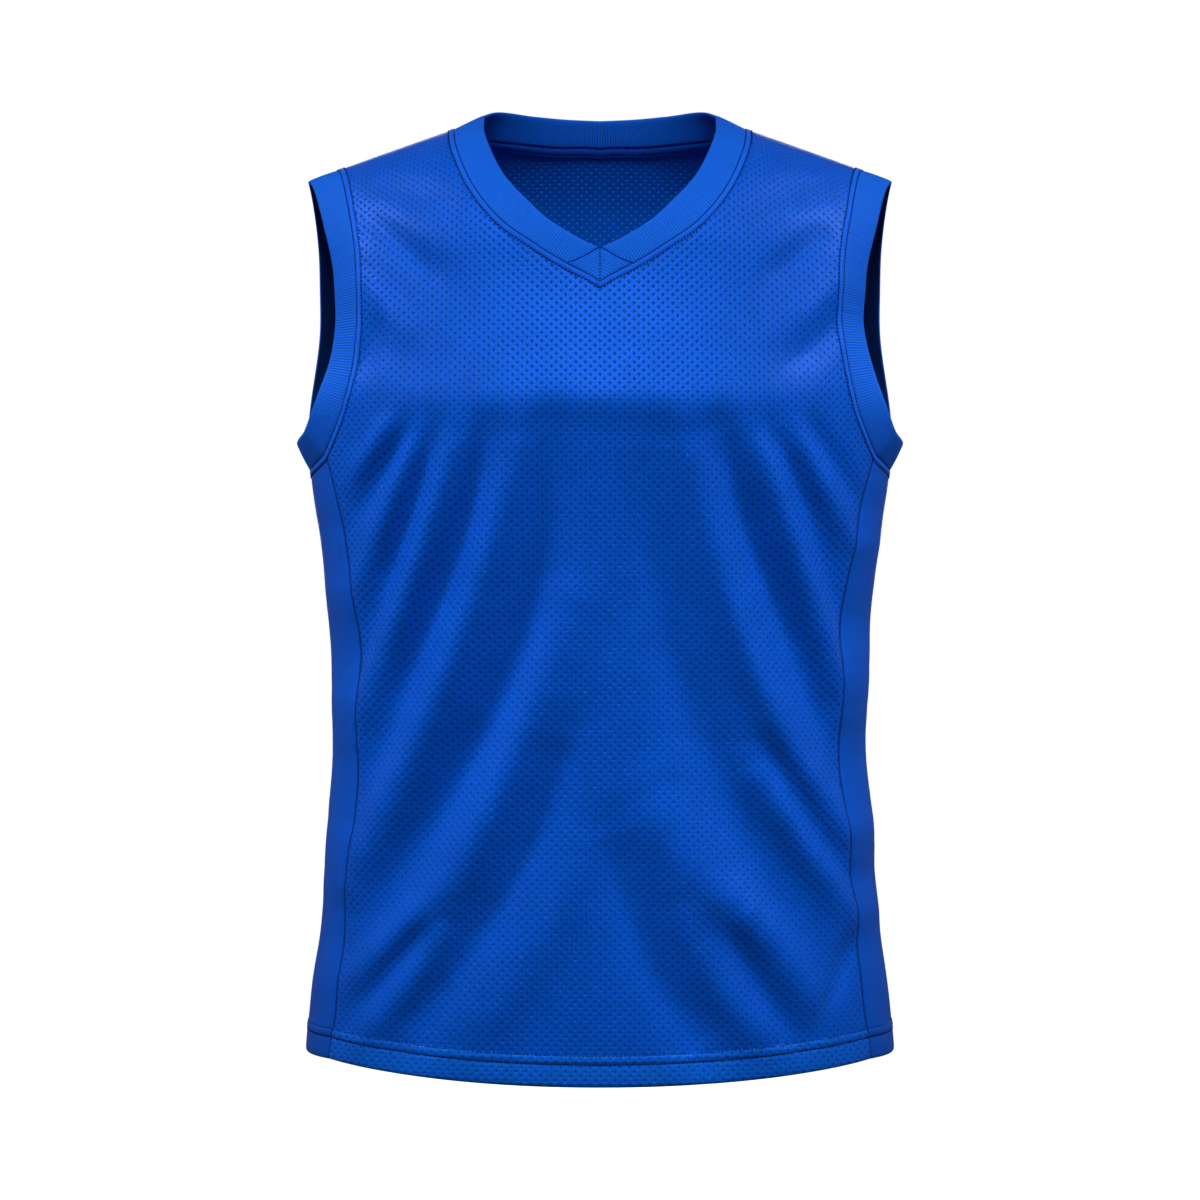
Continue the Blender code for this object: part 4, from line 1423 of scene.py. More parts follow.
@dataclass
class Stretch:
    """The part of a seam that lies on one panel, as places of the body form.

    The places are x and drop on the front or back, and share and height on a side panel,
    where side is None.
    """

    form: BodyForm
    side: Side | None
    hand: Hand
    first: Array
    second: Array

    def plain(self, first: Array, second: Array) -> Array:
        """Points of the form without its folds.

        Args:
            first: The first of the two numbers of each place.
            second: The second.

        Returns:
            The points.
        """
        if self.side is None:
            return self.form.flank_points(first, second) * (self.hand.value, 1, 1)
        return self.form.face_points(self.side, first, second)

    def cloth(self, first: Array, second: Array) -> tuple[Array, Array]:
        """The cloth with its folds.

        Args:
            first: The first of the two numbers of each place.
            second: The second.

        Returns:
            Points and normals.
        """
        if self.side is None:
            return self.form.flank_cloth(self.hand, np.clip(first, 0, 1), second)
        return self.form.face_cloth(self.side, np.stack([first, np.maximum(second, 0)], axis=-1))

    def beside(self, offset: Array) -> tuple[Array, Array]:
        """The cloth a short way off the seam.

        Args:
            offset: A vector along the cloth for each place of the seam.

        Returns:
            Points and normals there.
        """
        step = SLOPE_STEP
        first, second = self.first, np.maximum(self.second, 2 * step) if self.side else self.second
        along = (self.plain(first + step, second) - self.plain(first - step, second)) / (2 * step)
        down = (self.plain(first, second + step) - self.plain(first, second - step)) / (2 * step)
        both = (along * down).sum(-1)
        along_size, down_size = (along**2).sum(-1), (down**2).sum(-1)
        along_part, down_part = (along * offset).sum(-1), (down * offset).sum(-1)
        spread = along_size * down_size - both**2
        first = first + (along_part * down_size - down_part * both) / spread
        second = self.second + (down_part * along_size - along_part * both) / spread
        return self.cloth(first, second)


@dataclass
class SeamRun:
    """A seam over several panels, which can be followed a short way off on its body side."""

    stretches: list[Stretch]
    towards: float
    points: Array = field(init=False)
    normals: Array = field(init=False)
    away: Array = field(init=False)

    def __post_init__(self) -> None:
        """Finds the seam's points and the directions along the cloth, away from the band."""
        found = [stretch.cloth(stretch.first, stretch.second) for stretch in self.stretches]
        self.points = np.concatenate([points for points, _ in found])
        self.normals = np.concatenate([normals for _, normals in found])
        ahead = unit(np.roll(self.points, -1, 0) - self.points)
        across = unit(np.cross(self.normals, ahead)) * self.towards
        behind = np.roll(across, 1, 0)
        self.away = (across + behind) / (1 + (across * behind).sum(-1, keepdims=True))

    def beside(self, distance: float) -> tuple[Array, Array]:
        """The cloth at one distance from the seam.

        Args:
            distance: How far off the seam, away from the band.

        Returns:
            Points and normals.
        """
        counts = np.cumsum([len(stretch.first) for stretch in self.stretches])[:-1]
        parts = np.split(self.away * distance, counts)
        found = [stretch.beside(part) for stretch, part in zip(self.stretches, parts)]
        return tuple(np.concatenate(own) for own in zip(*found))


def swept(stations: Array, closed: bool) -> Array:
    """Faces of a tube whose stations each hold the same loop of points.

    Args:
        stations: Points by station and place round the loop.
        closed: Whether the last station joins the first.

    Returns:
        The faces, as point numbers.
    """
    count, around = stations.shape[:2]
    places = np.arange(count * around).reshape(count, around)
    here, there = (places, np.roll(places, -1, 0)) if closed else (places[:-1], places[1:])
    corners = [here, there, np.roll(there, -1, 1), np.roll(here, -1, 1)]
    faces = [np.stack(corners, -1).reshape(-1, 4)]
    if not closed:
        half = range(around // 2 - 1)
        for ring in (places[0], places[-1]):
            cap = [(ring[p], ring[p + 1], ring[-2 - p], ring[-1 - p]) for p in half]
            faces.append(np.array(cap))
    return np.concatenate(faces)


def softened(values: Array, reach: int) -> Array:
    """Evens out a closed line of vectors.

    Args:
        values: The vectors.
        reach: Number of neighbours either way that each is evened out with.

    Returns:
        The vectors, evened out.
    """
    weights = np.hanning(2 * reach + 3)[1:-1]
    weights /= weights.sum()
    shifts = range(-reach, reach + 1)
    return sum(weight * np.roll(values, shift, 0) for weight, shift in zip(weights, shifts))


# Across a band and above its outer face: from the seam to the folded free edge and back inside
BAND_LOOP = (
    (0.000, -0.0009),
    (0.012, -0.0002),
    (0.045, 0.0001),
    (0.130, 0.0002),
    (0.260, 0.0003),
    (0.400, 0.0004),
    (0.550, 0.0004),
    (0.700, 0.0003),
    (0.830, 0.0002),
    (0.920, 0.0001),
    (0.970, -0.0002),
    (0.995, -0.0008),
    (0.995, -0.0017),
    (0.970, -0.0022),
    (0.920, -0.0025),
    (0.800, -0.0026),
    (0.600, -0.0027),
    (0.400, -0.0027),
    (0.200, -0.0026),
    (0.045, -0.0024),
    (0.012, -0.0022),
    (0.000, -0.0016),
)
# Which of those points lie inside the band, where an armhole band takes painted shade,
# and where its outer half ends
INSIDE_LOOP = slice(13, 22)
BAND_MIDDLE = -0.0012


@dataclass(frozen=True)
class Ribbing:
    """The ribs of a doubled band: their pitch, height and unevenness.

    They rise from the seam over the share seam_fade of the way across, and from edge_start on
    they sink to a quarter of their height, where the cloth is stretched over its folded edge.
    """

    pitch: float = 0.00195
    height: float = 0.00026
    per_rib: int = 4
    unevenness: float = 0.45
    seed: int = 7
    seam_fade: float = 0.10
    edge_start: float = 0.80
    edge_fade: float = 0.15
    edge_sinking: float = 0.75

    def levels(self, count: int) -> Array:
        """Height on the ribs along a band.

        Args:
            count: Number of stations.

        Returns:
            The height at each, from zero to one.
        """
        phase = np.arange(count) / self.per_rib
        random = np.random.default_rng(self.seed)
        own = 1 - self.unevenness * random.random(count // self.per_rib + 3)
        wave = 0.5 + 0.5 * np.cos(2 * math.pi * phase)
        return 0.5 + (wave - 0.5) * own[phase.astype(int)]

    def weight(self, across: Array) -> Array:
        """How plain the ribs are across a band: less at its seam and over its free edge."""
        sinking = self.edge_sinking * ease((across - self.edge_start) / self.edge_fade)
        return ease(across / self.seam_fade) * (1 - sinking)


def band_loops(
    rows: Array, levels: Array, ribbing: Ribbing, start: Array | None = None
) -> tuple[Array, Array]:
    """Stations of a ribbed band.

    Args:
        rows: Middle, seam, free edge and outward direction of the band for each station.
        levels: Height on the ribs at each station.
        ribbing: The ribs.
        start: Share of the way across at which each station starts, where it isn't the seam.

    Returns:
        The loops, and the height on the ribs at each point, for painted highlight and shade.
    """
    seam, edge, facing = (rows[:, None, part : part + 3] for part in (3, 6, 9))
    across, height = np.array(BAND_LOOP).T
    begin = np.zeros((len(rows), 1)) if start is None else start[:, None]
    share = begin + (1 - begin) * across
    outer = np.where(height > BAND_MIDDLE, 1.0, -1.0)
    swing = ribbing.weight(across) * outer * ribbing.height
    # The ribs sink as well where the band runs out to nothing beside a mitre.
    rise = height + (levels[:, None] - 0.5) * swing * np.clip((1 - begin) * 8, 0, 1)
    points = seam + (edge - seam) * share[..., None] + facing * rise[..., None]
    shown = 0.5 + (levels[:, None] - 0.5) * ribbing.weight(across)
    return points, shown


def band_map(points: Array) -> Array:
    """Flat cloth places of a sweep.

    Args:
        points: Points by station and place round the loop.

    Returns:
        Lengths along the sweep and round its section, in the last axis.
    """
    along = running_length(points.mean(axis=1))
    around = running_widths(points)
    return np.stack([np.broadcast_to(along[:, None], around.shape), around], axis=-1)


def make_sweep(
    name: str,
    loops: Array,
    closed: bool,
    finish: Material,
    levels: Array | None = None,
) -> Piece:
    """Makes a piece from stations of the same loop.

    Args:
        name: The piece's name.
        loops: Points by station and place round the loop.
        closed: Whether the last station joins the first.
        finish: Its material.
        levels: Height on its ribs at each point, which sets painted highlight and shade.

    Returns:
        The piece.
    """
    flat = band_map(loops).reshape(-1, 2)
    shown = None if levels is None else levels.ravel()
    points, faces = loops.reshape(-1, 3), swept(loops, closed)
    return make_piece(name, points, faces, flat, (finish,), levels=shown)


# Off the seam and above the cloth: the raised allowance that the stitches hold down
ALLOWANCE_LOOP = (
    (-0.0001, -0.0006),
    (0.0001, 0.0001),
    (0.0006, 0.0005),
    (0.0014, 0.0007),
    (0.0024, 0.0007),
    (0.0033, 0.0005),
    (0.0039, 0.0002),
    (0.0043, -0.0003),
    (0.0040, -0.0008),
    (0.0002, -0.0008),
)


def allowance_loops(run: SeamRun) -> Array:
    """Stations of the raised seam allowance along a run.

    Args:
        run: The seam.

    Returns:
        Points by station and place round the loop.
    """
    loops = []
    for distance, height in ALLOWANCE_LOOP:
        points, normals = run.beside(distance)
        loops.append(points + normals * height)
    return np.stack(loops, axis=1)


@dataclass(frozen=True)
class Stitch:
    """One kind of stitch: its pitch in a row, its size, its slant and its height on the cloth."""

    pitch: float
    length: float
    width: float
    slant: float = 0.0
    lift: float = 0.0002


@dataclass
class StitchRows:
    """Rows of stitches laid by Geometry Nodes at points with their own directions."""

    finishes: Finishes
    cover_distance: float = 0.0044
    reach: float = 0.0004
    tree: bpy.types.NodeTree = field(init=False)

    def __post_init__(self) -> None:
        """Builds the node tree once."""
        self.tree = bpy.data.node_groups.new("stitch_rows", "GeometryNodeTree")
        face = self.tree.interface
        face.new_socket("Geometry", in_out="INPUT", socket_type="NodeSocketGeometry")
        for name in ("Stitch Length", "Thread Width"):
            face.new_socket(name, in_out="INPUT", socket_type="NodeSocketFloat")
        face.new_socket("Thread", in_out="INPUT", socket_type="NodeSocketMaterial")
        face.new_socket("Geometry", in_out="OUTPUT", socket_type="NodeSocketGeometry")
        given = self.node("NodeGroupInput")
        bead = self.node("GeometryNodeMeshUVSphere", Segments=6, Rings=5, Radius=0.5)
        width = given.outputs["Thread Width"]
        size = self.node("ShaderNodeCombineXYZ", X=given.outputs["Stitch Length"], Y=width, Z=width)
        shape = self.node("GeometryNodeTransform", Geometry=bead, Scale=size)
        turns = []
        for name in ("ahead", "up"):
            read = self.node("GeometryNodeInputNamedAttribute", Name=name)
            read.data_type = "FLOAT_VECTOR"
            turns.append(read.outputs["Attribute"])
        first = self.node("FunctionNodeAlignRotationToVector", Vector=turns[0])
        first.axis = "X"
        second = self.node("FunctionNodeAlignRotationToVector", Rotation=first, Vector=turns[1])
        second.axis, second.pivot_axis = "Z", "X"
        points = self.node("GeometryNodeMeshToPoints", Mesh=given.outputs["Geometry"])
        laid = self.node(
            "GeometryNodeInstanceOnPoints", Points=points, Instance=shape, Rotation=second
        )
        real = self.node("GeometryNodeRealizeInstances", Geometry=laid)
        thread = given.outputs["Thread"]
        dressed = self.node("GeometryNodeSetMaterial", Geometry=real, Material=thread)
        self.node("NodeGroupOutput", Geometry=dressed)

    def node(self, kind: str, **inputs: Any) -> bpy.types.Node:
        """Adds one node to the tree and links its inputs.

        Args:
            kind: The node's type.
            inputs: Values, output sockets or nodes by input name.

        Returns:
            The node.
        """
        node = self.tree.nodes.new(kind)
        for name, value in inputs.items():
            join(value, node.inputs[name])
        return node

    def sew(self, name: str, points: Array, ahead: Array, up: Array, stitch: Stitch) -> Piece:
        """Sews one stitch at each point.

        Args:
            name: The piece's name.
            points: Middle of each stitch.
            ahead: Direction of each stitch.
            up: Outward direction at each stitch.
            stitch: The kind of stitch.

        Returns:
            The stitches as one plain mesh.
        """
        data = bpy.data.meshes.new(name + "_places")
        data.from_pydata(points.tolist(), [], [])
        for key, values in (("ahead", ahead), ("up", up)):
            attribute = data.attributes.new(key, "FLOAT_VECTOR", "POINT")
            attribute.data.foreach_set("vector", np.asarray(values, np.float32).ravel())
        holder = bpy.data.objects.new(name, data)
        bpy.context.scene.collection.objects.link(holder)
        layer = holder.modifiers.new("stitches", "NODES")
        layer.node_group = self.tree
        sockets = [item for item in self.tree.interface.items_tree if item.in_out == "INPUT"]
        own = {item.name: item.identifier for item in sockets}
        layer[own["Stitch Length"]] = stitch.length
        layer[own["Thread Width"]] = stitch.width
        layer[own["Thread"]] = self.finishes.thread
        graph = bpy.context.evaluated_depsgraph_get()
        sewn = bpy.data.meshes.new_from_object(holder.evaluated_get(graph))
        holder.modifiers.remove(layer)
        holder.data = sewn
        sewn.name = name
        sewn.shade_smooth()
        bpy.data.meshes.remove(data)
        put_in_place(holder)
        LOG.info("%s: %d stitches", name, len(points))
        return holder

    def sew_line(
        self, name: str, line: Array, normals: Array, closed: bool, stitch: Stitch
    ) -> Piece:
        """Sews an even row of stitches along a line.

        Args:
            name: The piece's name.
            line: Points of the line on the cloth.
            normals: Outward directions along it.
            closed: Whether the line ends where it starts.
            stitch: The kind of stitch.

        Returns:
            The row of stitches.
        """
        line = line + normals * stitch.lift
        if closed:
            line, normals = np.vstack([line, line[:1]]), np.vstack([normals, normals[:1]])
        total = running_length(line)[-1]
        count = max(2, round(total / stitch.pitch))
        places = (np.arange(count) + 0.5) * total / count
        read = resampled(np.column_stack([line, normals]), places)
        after = resampled(line, np.clip(places + self.reach, 0, total))
        before = resampled(line, np.clip(places - self.reach, 0, total))
        ahead, up = unit(after - before), unit(read[:, 3:])
        across = np.cross(up, ahead)
        turned = ahead * math.cos(stitch.slant) + across * math.sin(stitch.slant)
        return self.sew(name, read[:, :3], turned, up, stitch)

    def finish_seam(
        self, run: SeamRun, names: Sequence[str], cover: Stitch, seam: Stitch
    ) -> list[Piece]:
        """Lays a raised allowance beside a seam and sews both.

        Args:
            run: The seam.
            names: Names of the allowance, the slanting cover stitches and the seam's own row.
            cover: The cover stitches, which hold the allowance down.
            seam: The stitches on the seam itself.

        Returns:
            The allowance and the two rows.
        """
        allowance = make_sweep(names[0], allowance_loops(run), True, self.finishes.allowance)
        put_in_place(allowance)
        teeth = self.sew_line(names[1], *run.beside(self.cover_distance), True, cover)
        row = self.sew_line(names[2], *run.beside(0.0), True, seam)
        return [allowance, teeth, row]


# What is sewn on the neck seam, and the words for the same on an armhole
NECK_SEWN = ("neck_seam_allowance", "neck_cover_stitches", "neck_seam_stitches")
SEAM_WORDS = ("allowance", "cover_stitches", "seam_stitches")
# Across a mitre, as a share from its slanting seam to the body's seam, and above its face
MITRE_LOOP = (
    (0.008, -0.0008),
    (0.03, -0.0002),
    (0.09, 0.0001),
    (0.22, 0.0002),
    (0.40, 0.0003),
    (0.60, 0.0003),
    (0.78, 0.0002),
    (0.91, 0.0001),
    (0.975, -0.0002),
    (0.996, -0.0008),
)


@dataclass
class NeckTrim:
    """Neck band, its two mitres, the seam allowance, the stitches and the tape inside.

    The mitres fill the corner of the V up to mitre_length along the neck seam, and their ribs
    run over mitre_span of the band's width, v_width, at the point of the V.
    """

    form: BodyForm
    seams: SeamLines
    finishes: Finishes
    stitches: StitchRows
    ribbing: Ribbing = Ribbing()
    mitre_length: float = 0.027
    mitre_bend: float = 1.5
    mitre_gap: float = 0.012
    mitre_span: tuple[float, float] = (0.04, 0.985)
    v_width: float = 0.0221
    last_start: float = 0.995
    double_thickness: float = 0.0024
    front_cells: int = 300
    back_cells: int = 200
    facing_rounds: int = 12
    run_front_cells: int = 150
    run_back_cells: int = 110
    cover_stitch: Stitch = Stitch(0.0027, 0.0027, 0.00105, math.radians(36))
    seam_stitch: Stitch = Stitch(0.0026, 0.0031, 0.00085)
    tape_cells: int = 120
    tape_share: float = 5 / 7
    tape_top: float = 0.0010
    tape_width: float = 0.0065
    tape_depth: float = 0.0020
    tape_thickness: float = 0.0010

    def half(self, hand: Hand) -> Array:
        """One half of the neck, from the V to the middle of the back.

        Args:
            hand: Which half.

        Returns:
            Rows of the band's middle, seam, free edge and outward direction.
        """
        rows = []
        for side, cells in ((Side.FRONT, self.front_cells), (Side.BACK, self.back_cells)):
            places, edge = self.seams.neck(side, cells)
            seam, normals = self.form.face_cloth(side, places * (hand.value, 1))
            rows.append(np.column_stack([seam, edge * (hand.value, 1, 1), normals]))
        joined = np.vstack([rows[0], rows[1][:-1][::-1]])
        seam, edge, normals = joined[:, :3], joined[:, 3:6], joined[:, 6:]
        facing = unit(np.cross(np.gradient(seam, axis=0), edge - seam))
        facing *= np.sign((facing * normals).sum(-1, keepdims=True))
        for _ in range(self.facing_rounds):
            facing[1:-1] = unit(facing[:-2] + 2 * facing[1:-1] + facing[2:])
        return np.column_stack([(seam + edge) / 2, seam, edge, facing])

    def band(self, halves: dict[Hand, Array]) -> Piece:
        """The ribbed band from one mitre round the back to the other.

        Args:
            halves: The rows of both halves, the right one first.

        Returns:
            The band.
        """
        parts = []
        for rows in halves.values():
            total = running_length(rows[:, :3])[-1]
            step = total / round(total / self.ribbing.pitch * self.ribbing.per_rib)
            places = np.arange(1, round(total / step) + 1) * step
            read = resampled(rows, places)
            along = np.interp(places, running_length(rows[:, :3]), running_length(rows[:, 3:6]))
            start = 1 - (along / self.mitre_length) ** self.mitre_bend + self.mitre_gap
            parts.append((read, np.clip(start, 0, self.last_start)))
        (right, right_start), (left, left_start) = parts
        rows = np.vstack([right[:-1], left[::-1]])
        start = np.concatenate([right_start[:-1], left_start[::-1]])
        levels = self.ribbing.levels(len(rows))
        loops, shown = band_loops(rows, levels, self.ribbing, start)
        piece = make_sweep("neck_rib_band", loops, False, self.finishes.rib, shown)
        put_in_place(piece, ["neck_band"])
        return piece

    def mitre(self, hand: Hand, rows: Array) -> Piece:
        """One three-cornered rib piece, whose ribs run along its slanting seam.

        Args:
            hand: Which side of the V.
            rows: The rows of that half of the neck.

        Returns:
            The mitre.
        """
        first, last = self.mitre_span
        pitch_share = self.ribbing.pitch / self.v_width
        count = int((last - first) / pitch_share * self.ribbing.per_rib)
        way = np.linspace(first, last, count)
        levels = self.ribbing.levels(count)
        share, high = np.array(MITRE_LOOP).T
        swing = self.ribbing.height * ease(share / 0.1) * ease((1 - share) / 0.1)
        ends = ease((1 - way) / 0.05)[:, None] * ease(way / 0.12)[:, None]
        across = np.clip(way[:, None] * share, 0, 1)
        places = way[:, None] * self.mitre_length * (1 - share) ** (1 / self.mitre_bend)
        read = np.stack([resampled(rows[:, 3:], row) for row in places])
        base = read[..., :3] + (read[..., 3:6] - read[..., :3]) * across[..., None]
        # Towards both ends the piece sinks by 0.8 mm and thins by 0.3 mm into the seams.
        rise = high - 0.0008 * (1 - ends) + (levels[:, None] - 0.5) * swing * ends
        outer = base + read[..., 6:] * rise[..., None]
        inner = base - read[..., 6:] * (self.double_thickness - 0.0003 * (1 - ends))[..., None]
        loops = np.concatenate([outer, inner[:, ::-1]], axis=1)
        shown = 0.5 + (levels[:, None] - 0.5) * np.concatenate([ease(share / 0.1)] * 2)
        shown = np.broadcast_to(shown, loops.shape[:2])
        piece = make_sweep(f"v_mitre_rib_{hand.label}", loops, False, self.finishes.rib, shown)
        put_in_place(piece, [f"v_mitre_{hand.label}"])
        return piece

    def run(self) -> SeamRun:
        """The neck seam as one closed run, from the V up the right side and round.

        Returns:
            The run.
        """
        front = self.seams.neck(Side.FRONT, self.run_front_cells)[0]
        back = self.seams.neck(Side.BACK, self.run_back_cells)[0]
        stretches = []
        for side, hand, places in (
            (Side.FRONT, Hand.RIGHT, front[:-1]),
            (Side.BACK, Hand.RIGHT, back[::-1][:-1]),
            (Side.BACK, Hand.LEFT, back[:-1]),
            (Side.FRONT, Hand.LEFT, front[::-1][:-1]),
        ):
            x, drop = places[:, 0] * hand.value, places[:, 1]
            stretches.append(Stretch(self.form, side, hand, x, drop))
        return SeamRun(stretches, -1.0)

    def tape(self) -> Piece:
        """The tape over the seam inside the back of the neck.

        Returns:
            The tape.
        """
        count = self.tape_cells
        places = self.seams.neck(Side.BACK, count)[0][: round(count * self.tape_share)]
        both = np.vstack([places[::-1] * (-1, 1), places[1:]])
        stretch = Stretch(self.form, Side.BACK, Hand.RIGHT, both[:, 0], both[:, 1])
        points, normals = stretch.cloth(stretch.first, stretch.second)
        ahead = unit(np.gradient(points, axis=0))
        down = unit(np.cross(normals, ahead))
        down *= -np.sign(down[:, 2:])
        top, low = self.tape_top, self.tape_top + self.tape_width
        near, far = self.tape_depth, self.tape_depth + self.tape_thickness
        # Its section, as ways down the cloth and inwards, is bulged and has a dent by its seam.
        shape = (
            (top, near),
            (low, near),
            (low + 0.0002, near + 0.0004),
            (low - 0.0003, far),
            (low - 0.0012, far - 0.0003),
            (low - 0.0018, far),
            (low - 0.0034, far + 0.0003),
            (top + 0.0008, far),
            (top - 0.0001, near + 0.0006),
        )
        loops = []
        for off, inset in shape:
            own, own_normals = stretch.beside(down * off)
            loops.append(own - own_normals * inset)
        piece = make_sweep("neck_tape", np.stack(loops, axis=1), False, self.finishes.tape)
        put_in_place(piece, ["back_neck_tape"])
        return piece

    def build(self) -> dict[str, Piece]:
        """Makes every piece of the neck.

        Returns:
            The pieces by name.
        """
        halves = {hand: self.half(hand) for hand in (Hand.RIGHT, Hand.LEFT)}
        pieces = [self.band(halves)] + [self.mitre(hand, rows) for hand, rows in halves.items()]
        run = self.run()
        pieces += self.stitches.finish_seam(run, NECK_SEWN, self.cover_stitch, self.seam_stitch)
        pieces.append(self.tape())
        return {piece.name: piece for piece in pieces}


@dataclass
class ArmholeTrim:
    """One armhole's ribbed band, its seam allowance and its stitches."""

    form: BodyForm
    seams: SeamLines
    finishes: Finishes
    stitches: StitchRows
    hand: Hand
    ribbing: Ribbing = Ribbing(seed=11)
    width: float = 0.0232
    cells: int = 170
    under_cells: int = 60
    inside_painted_shade: float = -0.12
    direction_reach: int = 15
    edge_reach: int = 9
    cover_stitch: Stitch = Stitch(0.0027, 0.0027, 0.00100, math.radians(36))
    seam_stitch: Stitch = Stitch(0.0026, 0.0031, 0.00085)

    def run(self) -> SeamRun:
        """The armhole seam: down the front, under the arm and up the back.

        Returns:
            The seam as one closed run.
        """
        turn = self.hand.value
        front = self.seams.armhole(Side.FRONT, self.cells)[::-1]
        back = self.seams.armhole(Side.BACK, self.cells)[:-1]
        share = np.linspace(0, 1, self.under_cells + 1)[1:-1]
        z = self.form.underarm_height(share)
        stretches = [
            Stretch(self.form, Side.FRONT, self.hand, front[:, 0] * turn, front[:, 1]),
            Stretch(self.form, None, self.hand, share, z),
            Stretch(self.form, Side.BACK, self.hand, back[:, 0] * turn, back[:, 1]),
        ]
        return SeamRun(stretches, -1.0 * turn)

    def leans(self, points: Array) -> Array:
        """How far the band leans out of the cloth.

        Args:
            points: Points of the seam.

        Returns:
            The angle at each point, in radians.
        """
        heights = np.clip(points[:, 2], UNDERARM.z, 0.0)
        by_side = [smooth(heights, *zip(*BAND_LEANS[side])) for side in (Side.FRONT, Side.BACK)]
        return np.where(points[:, 1] < 0, by_side[0], by_side[1])[:, None]

    def band(self, run: SeamRun) -> Piece:
        """The ribbed band, flared a little under the arm.

        Args:
            run: The armhole seam.

        Returns:
            The band.
        """
        points, normals = run.points, run.normals
        inward = unit(softened(-unit(run.away), self.direction_reach))
        flare = self.leans(points)
        lean = inward * np.cos(flare) + normals * np.sin(flare)
        facing = normals * np.cos(flare) - inward * np.sin(flare)
        facing = unit(softened(facing, self.direction_reach))
        edge = softened(points + lean * self.width, self.edge_reach)
        rows = np.column_stack([(points + edge) / 2, points, edge, facing])
        rows = np.vstack([rows, rows[:1]])
        total = running_length(rows[:, :3])[-1]
        count = round(total / self.ribbing.pitch) * self.ribbing.per_rib
        rows = resampled(rows, np.arange(count) * total / count)
        loops, shown = band_loops(rows, self.ribbing.levels(count), self.ribbing)
        # Painted shade darkens the band's inside, where the hollow of the armhole keeps light away.
        shown[:, INSIDE_LOOP] = self.inside_painted_shade
        piece = make_sweep(f"armhole_rib_{self.hand.label}", loops, True, self.finishes.rib, shown)
        put_in_place(piece, [f"armhole_band_{self.hand.label}"])
        return piece

    def build(self) -> dict[str, Piece]:
        """Makes every piece of the armhole.

        Returns:
            The pieces by name.
        """
        run = self.run()
        names = [f"armhole_{word}_{self.hand.label}" for word in SEAM_WORDS]
        sewn = self.stitches.finish_seam(run, names, self.cover_stitch, self.seam_stitch)
        return {piece.name: piece for piece in [self.band(run)] + sewn}


# Down a hem from its seam and above the cloth: the raised, stitched strip and the plain rest
HEM_LOOP = (
    (-0.0006, -0.0004),
    (0.0004, 0.0003),
    (0.0012, 0.0006),
    (0.0032, 0.0008),
    (0.0051, 0.0006),
    (0.0059, 0.0003),
    (0.0064, 0.0000),
    (0.0070, 0.0003),
    (0.0100, 0.0004),
    (0.0150, 0.0004),
    (0.0195, 0.0004),
    (0.0215, 0.0001),
    (0.0224, -0.0006),
    (0.0224, -0.0016),
    (0.0215, -0.0022),
    (0.0150, -0.0024),
    (0.0100, -0.0024),
    (0.0064, -0.0024),
    (0.0030, -0.0024),
    (-0.0006, -0.0022),
)


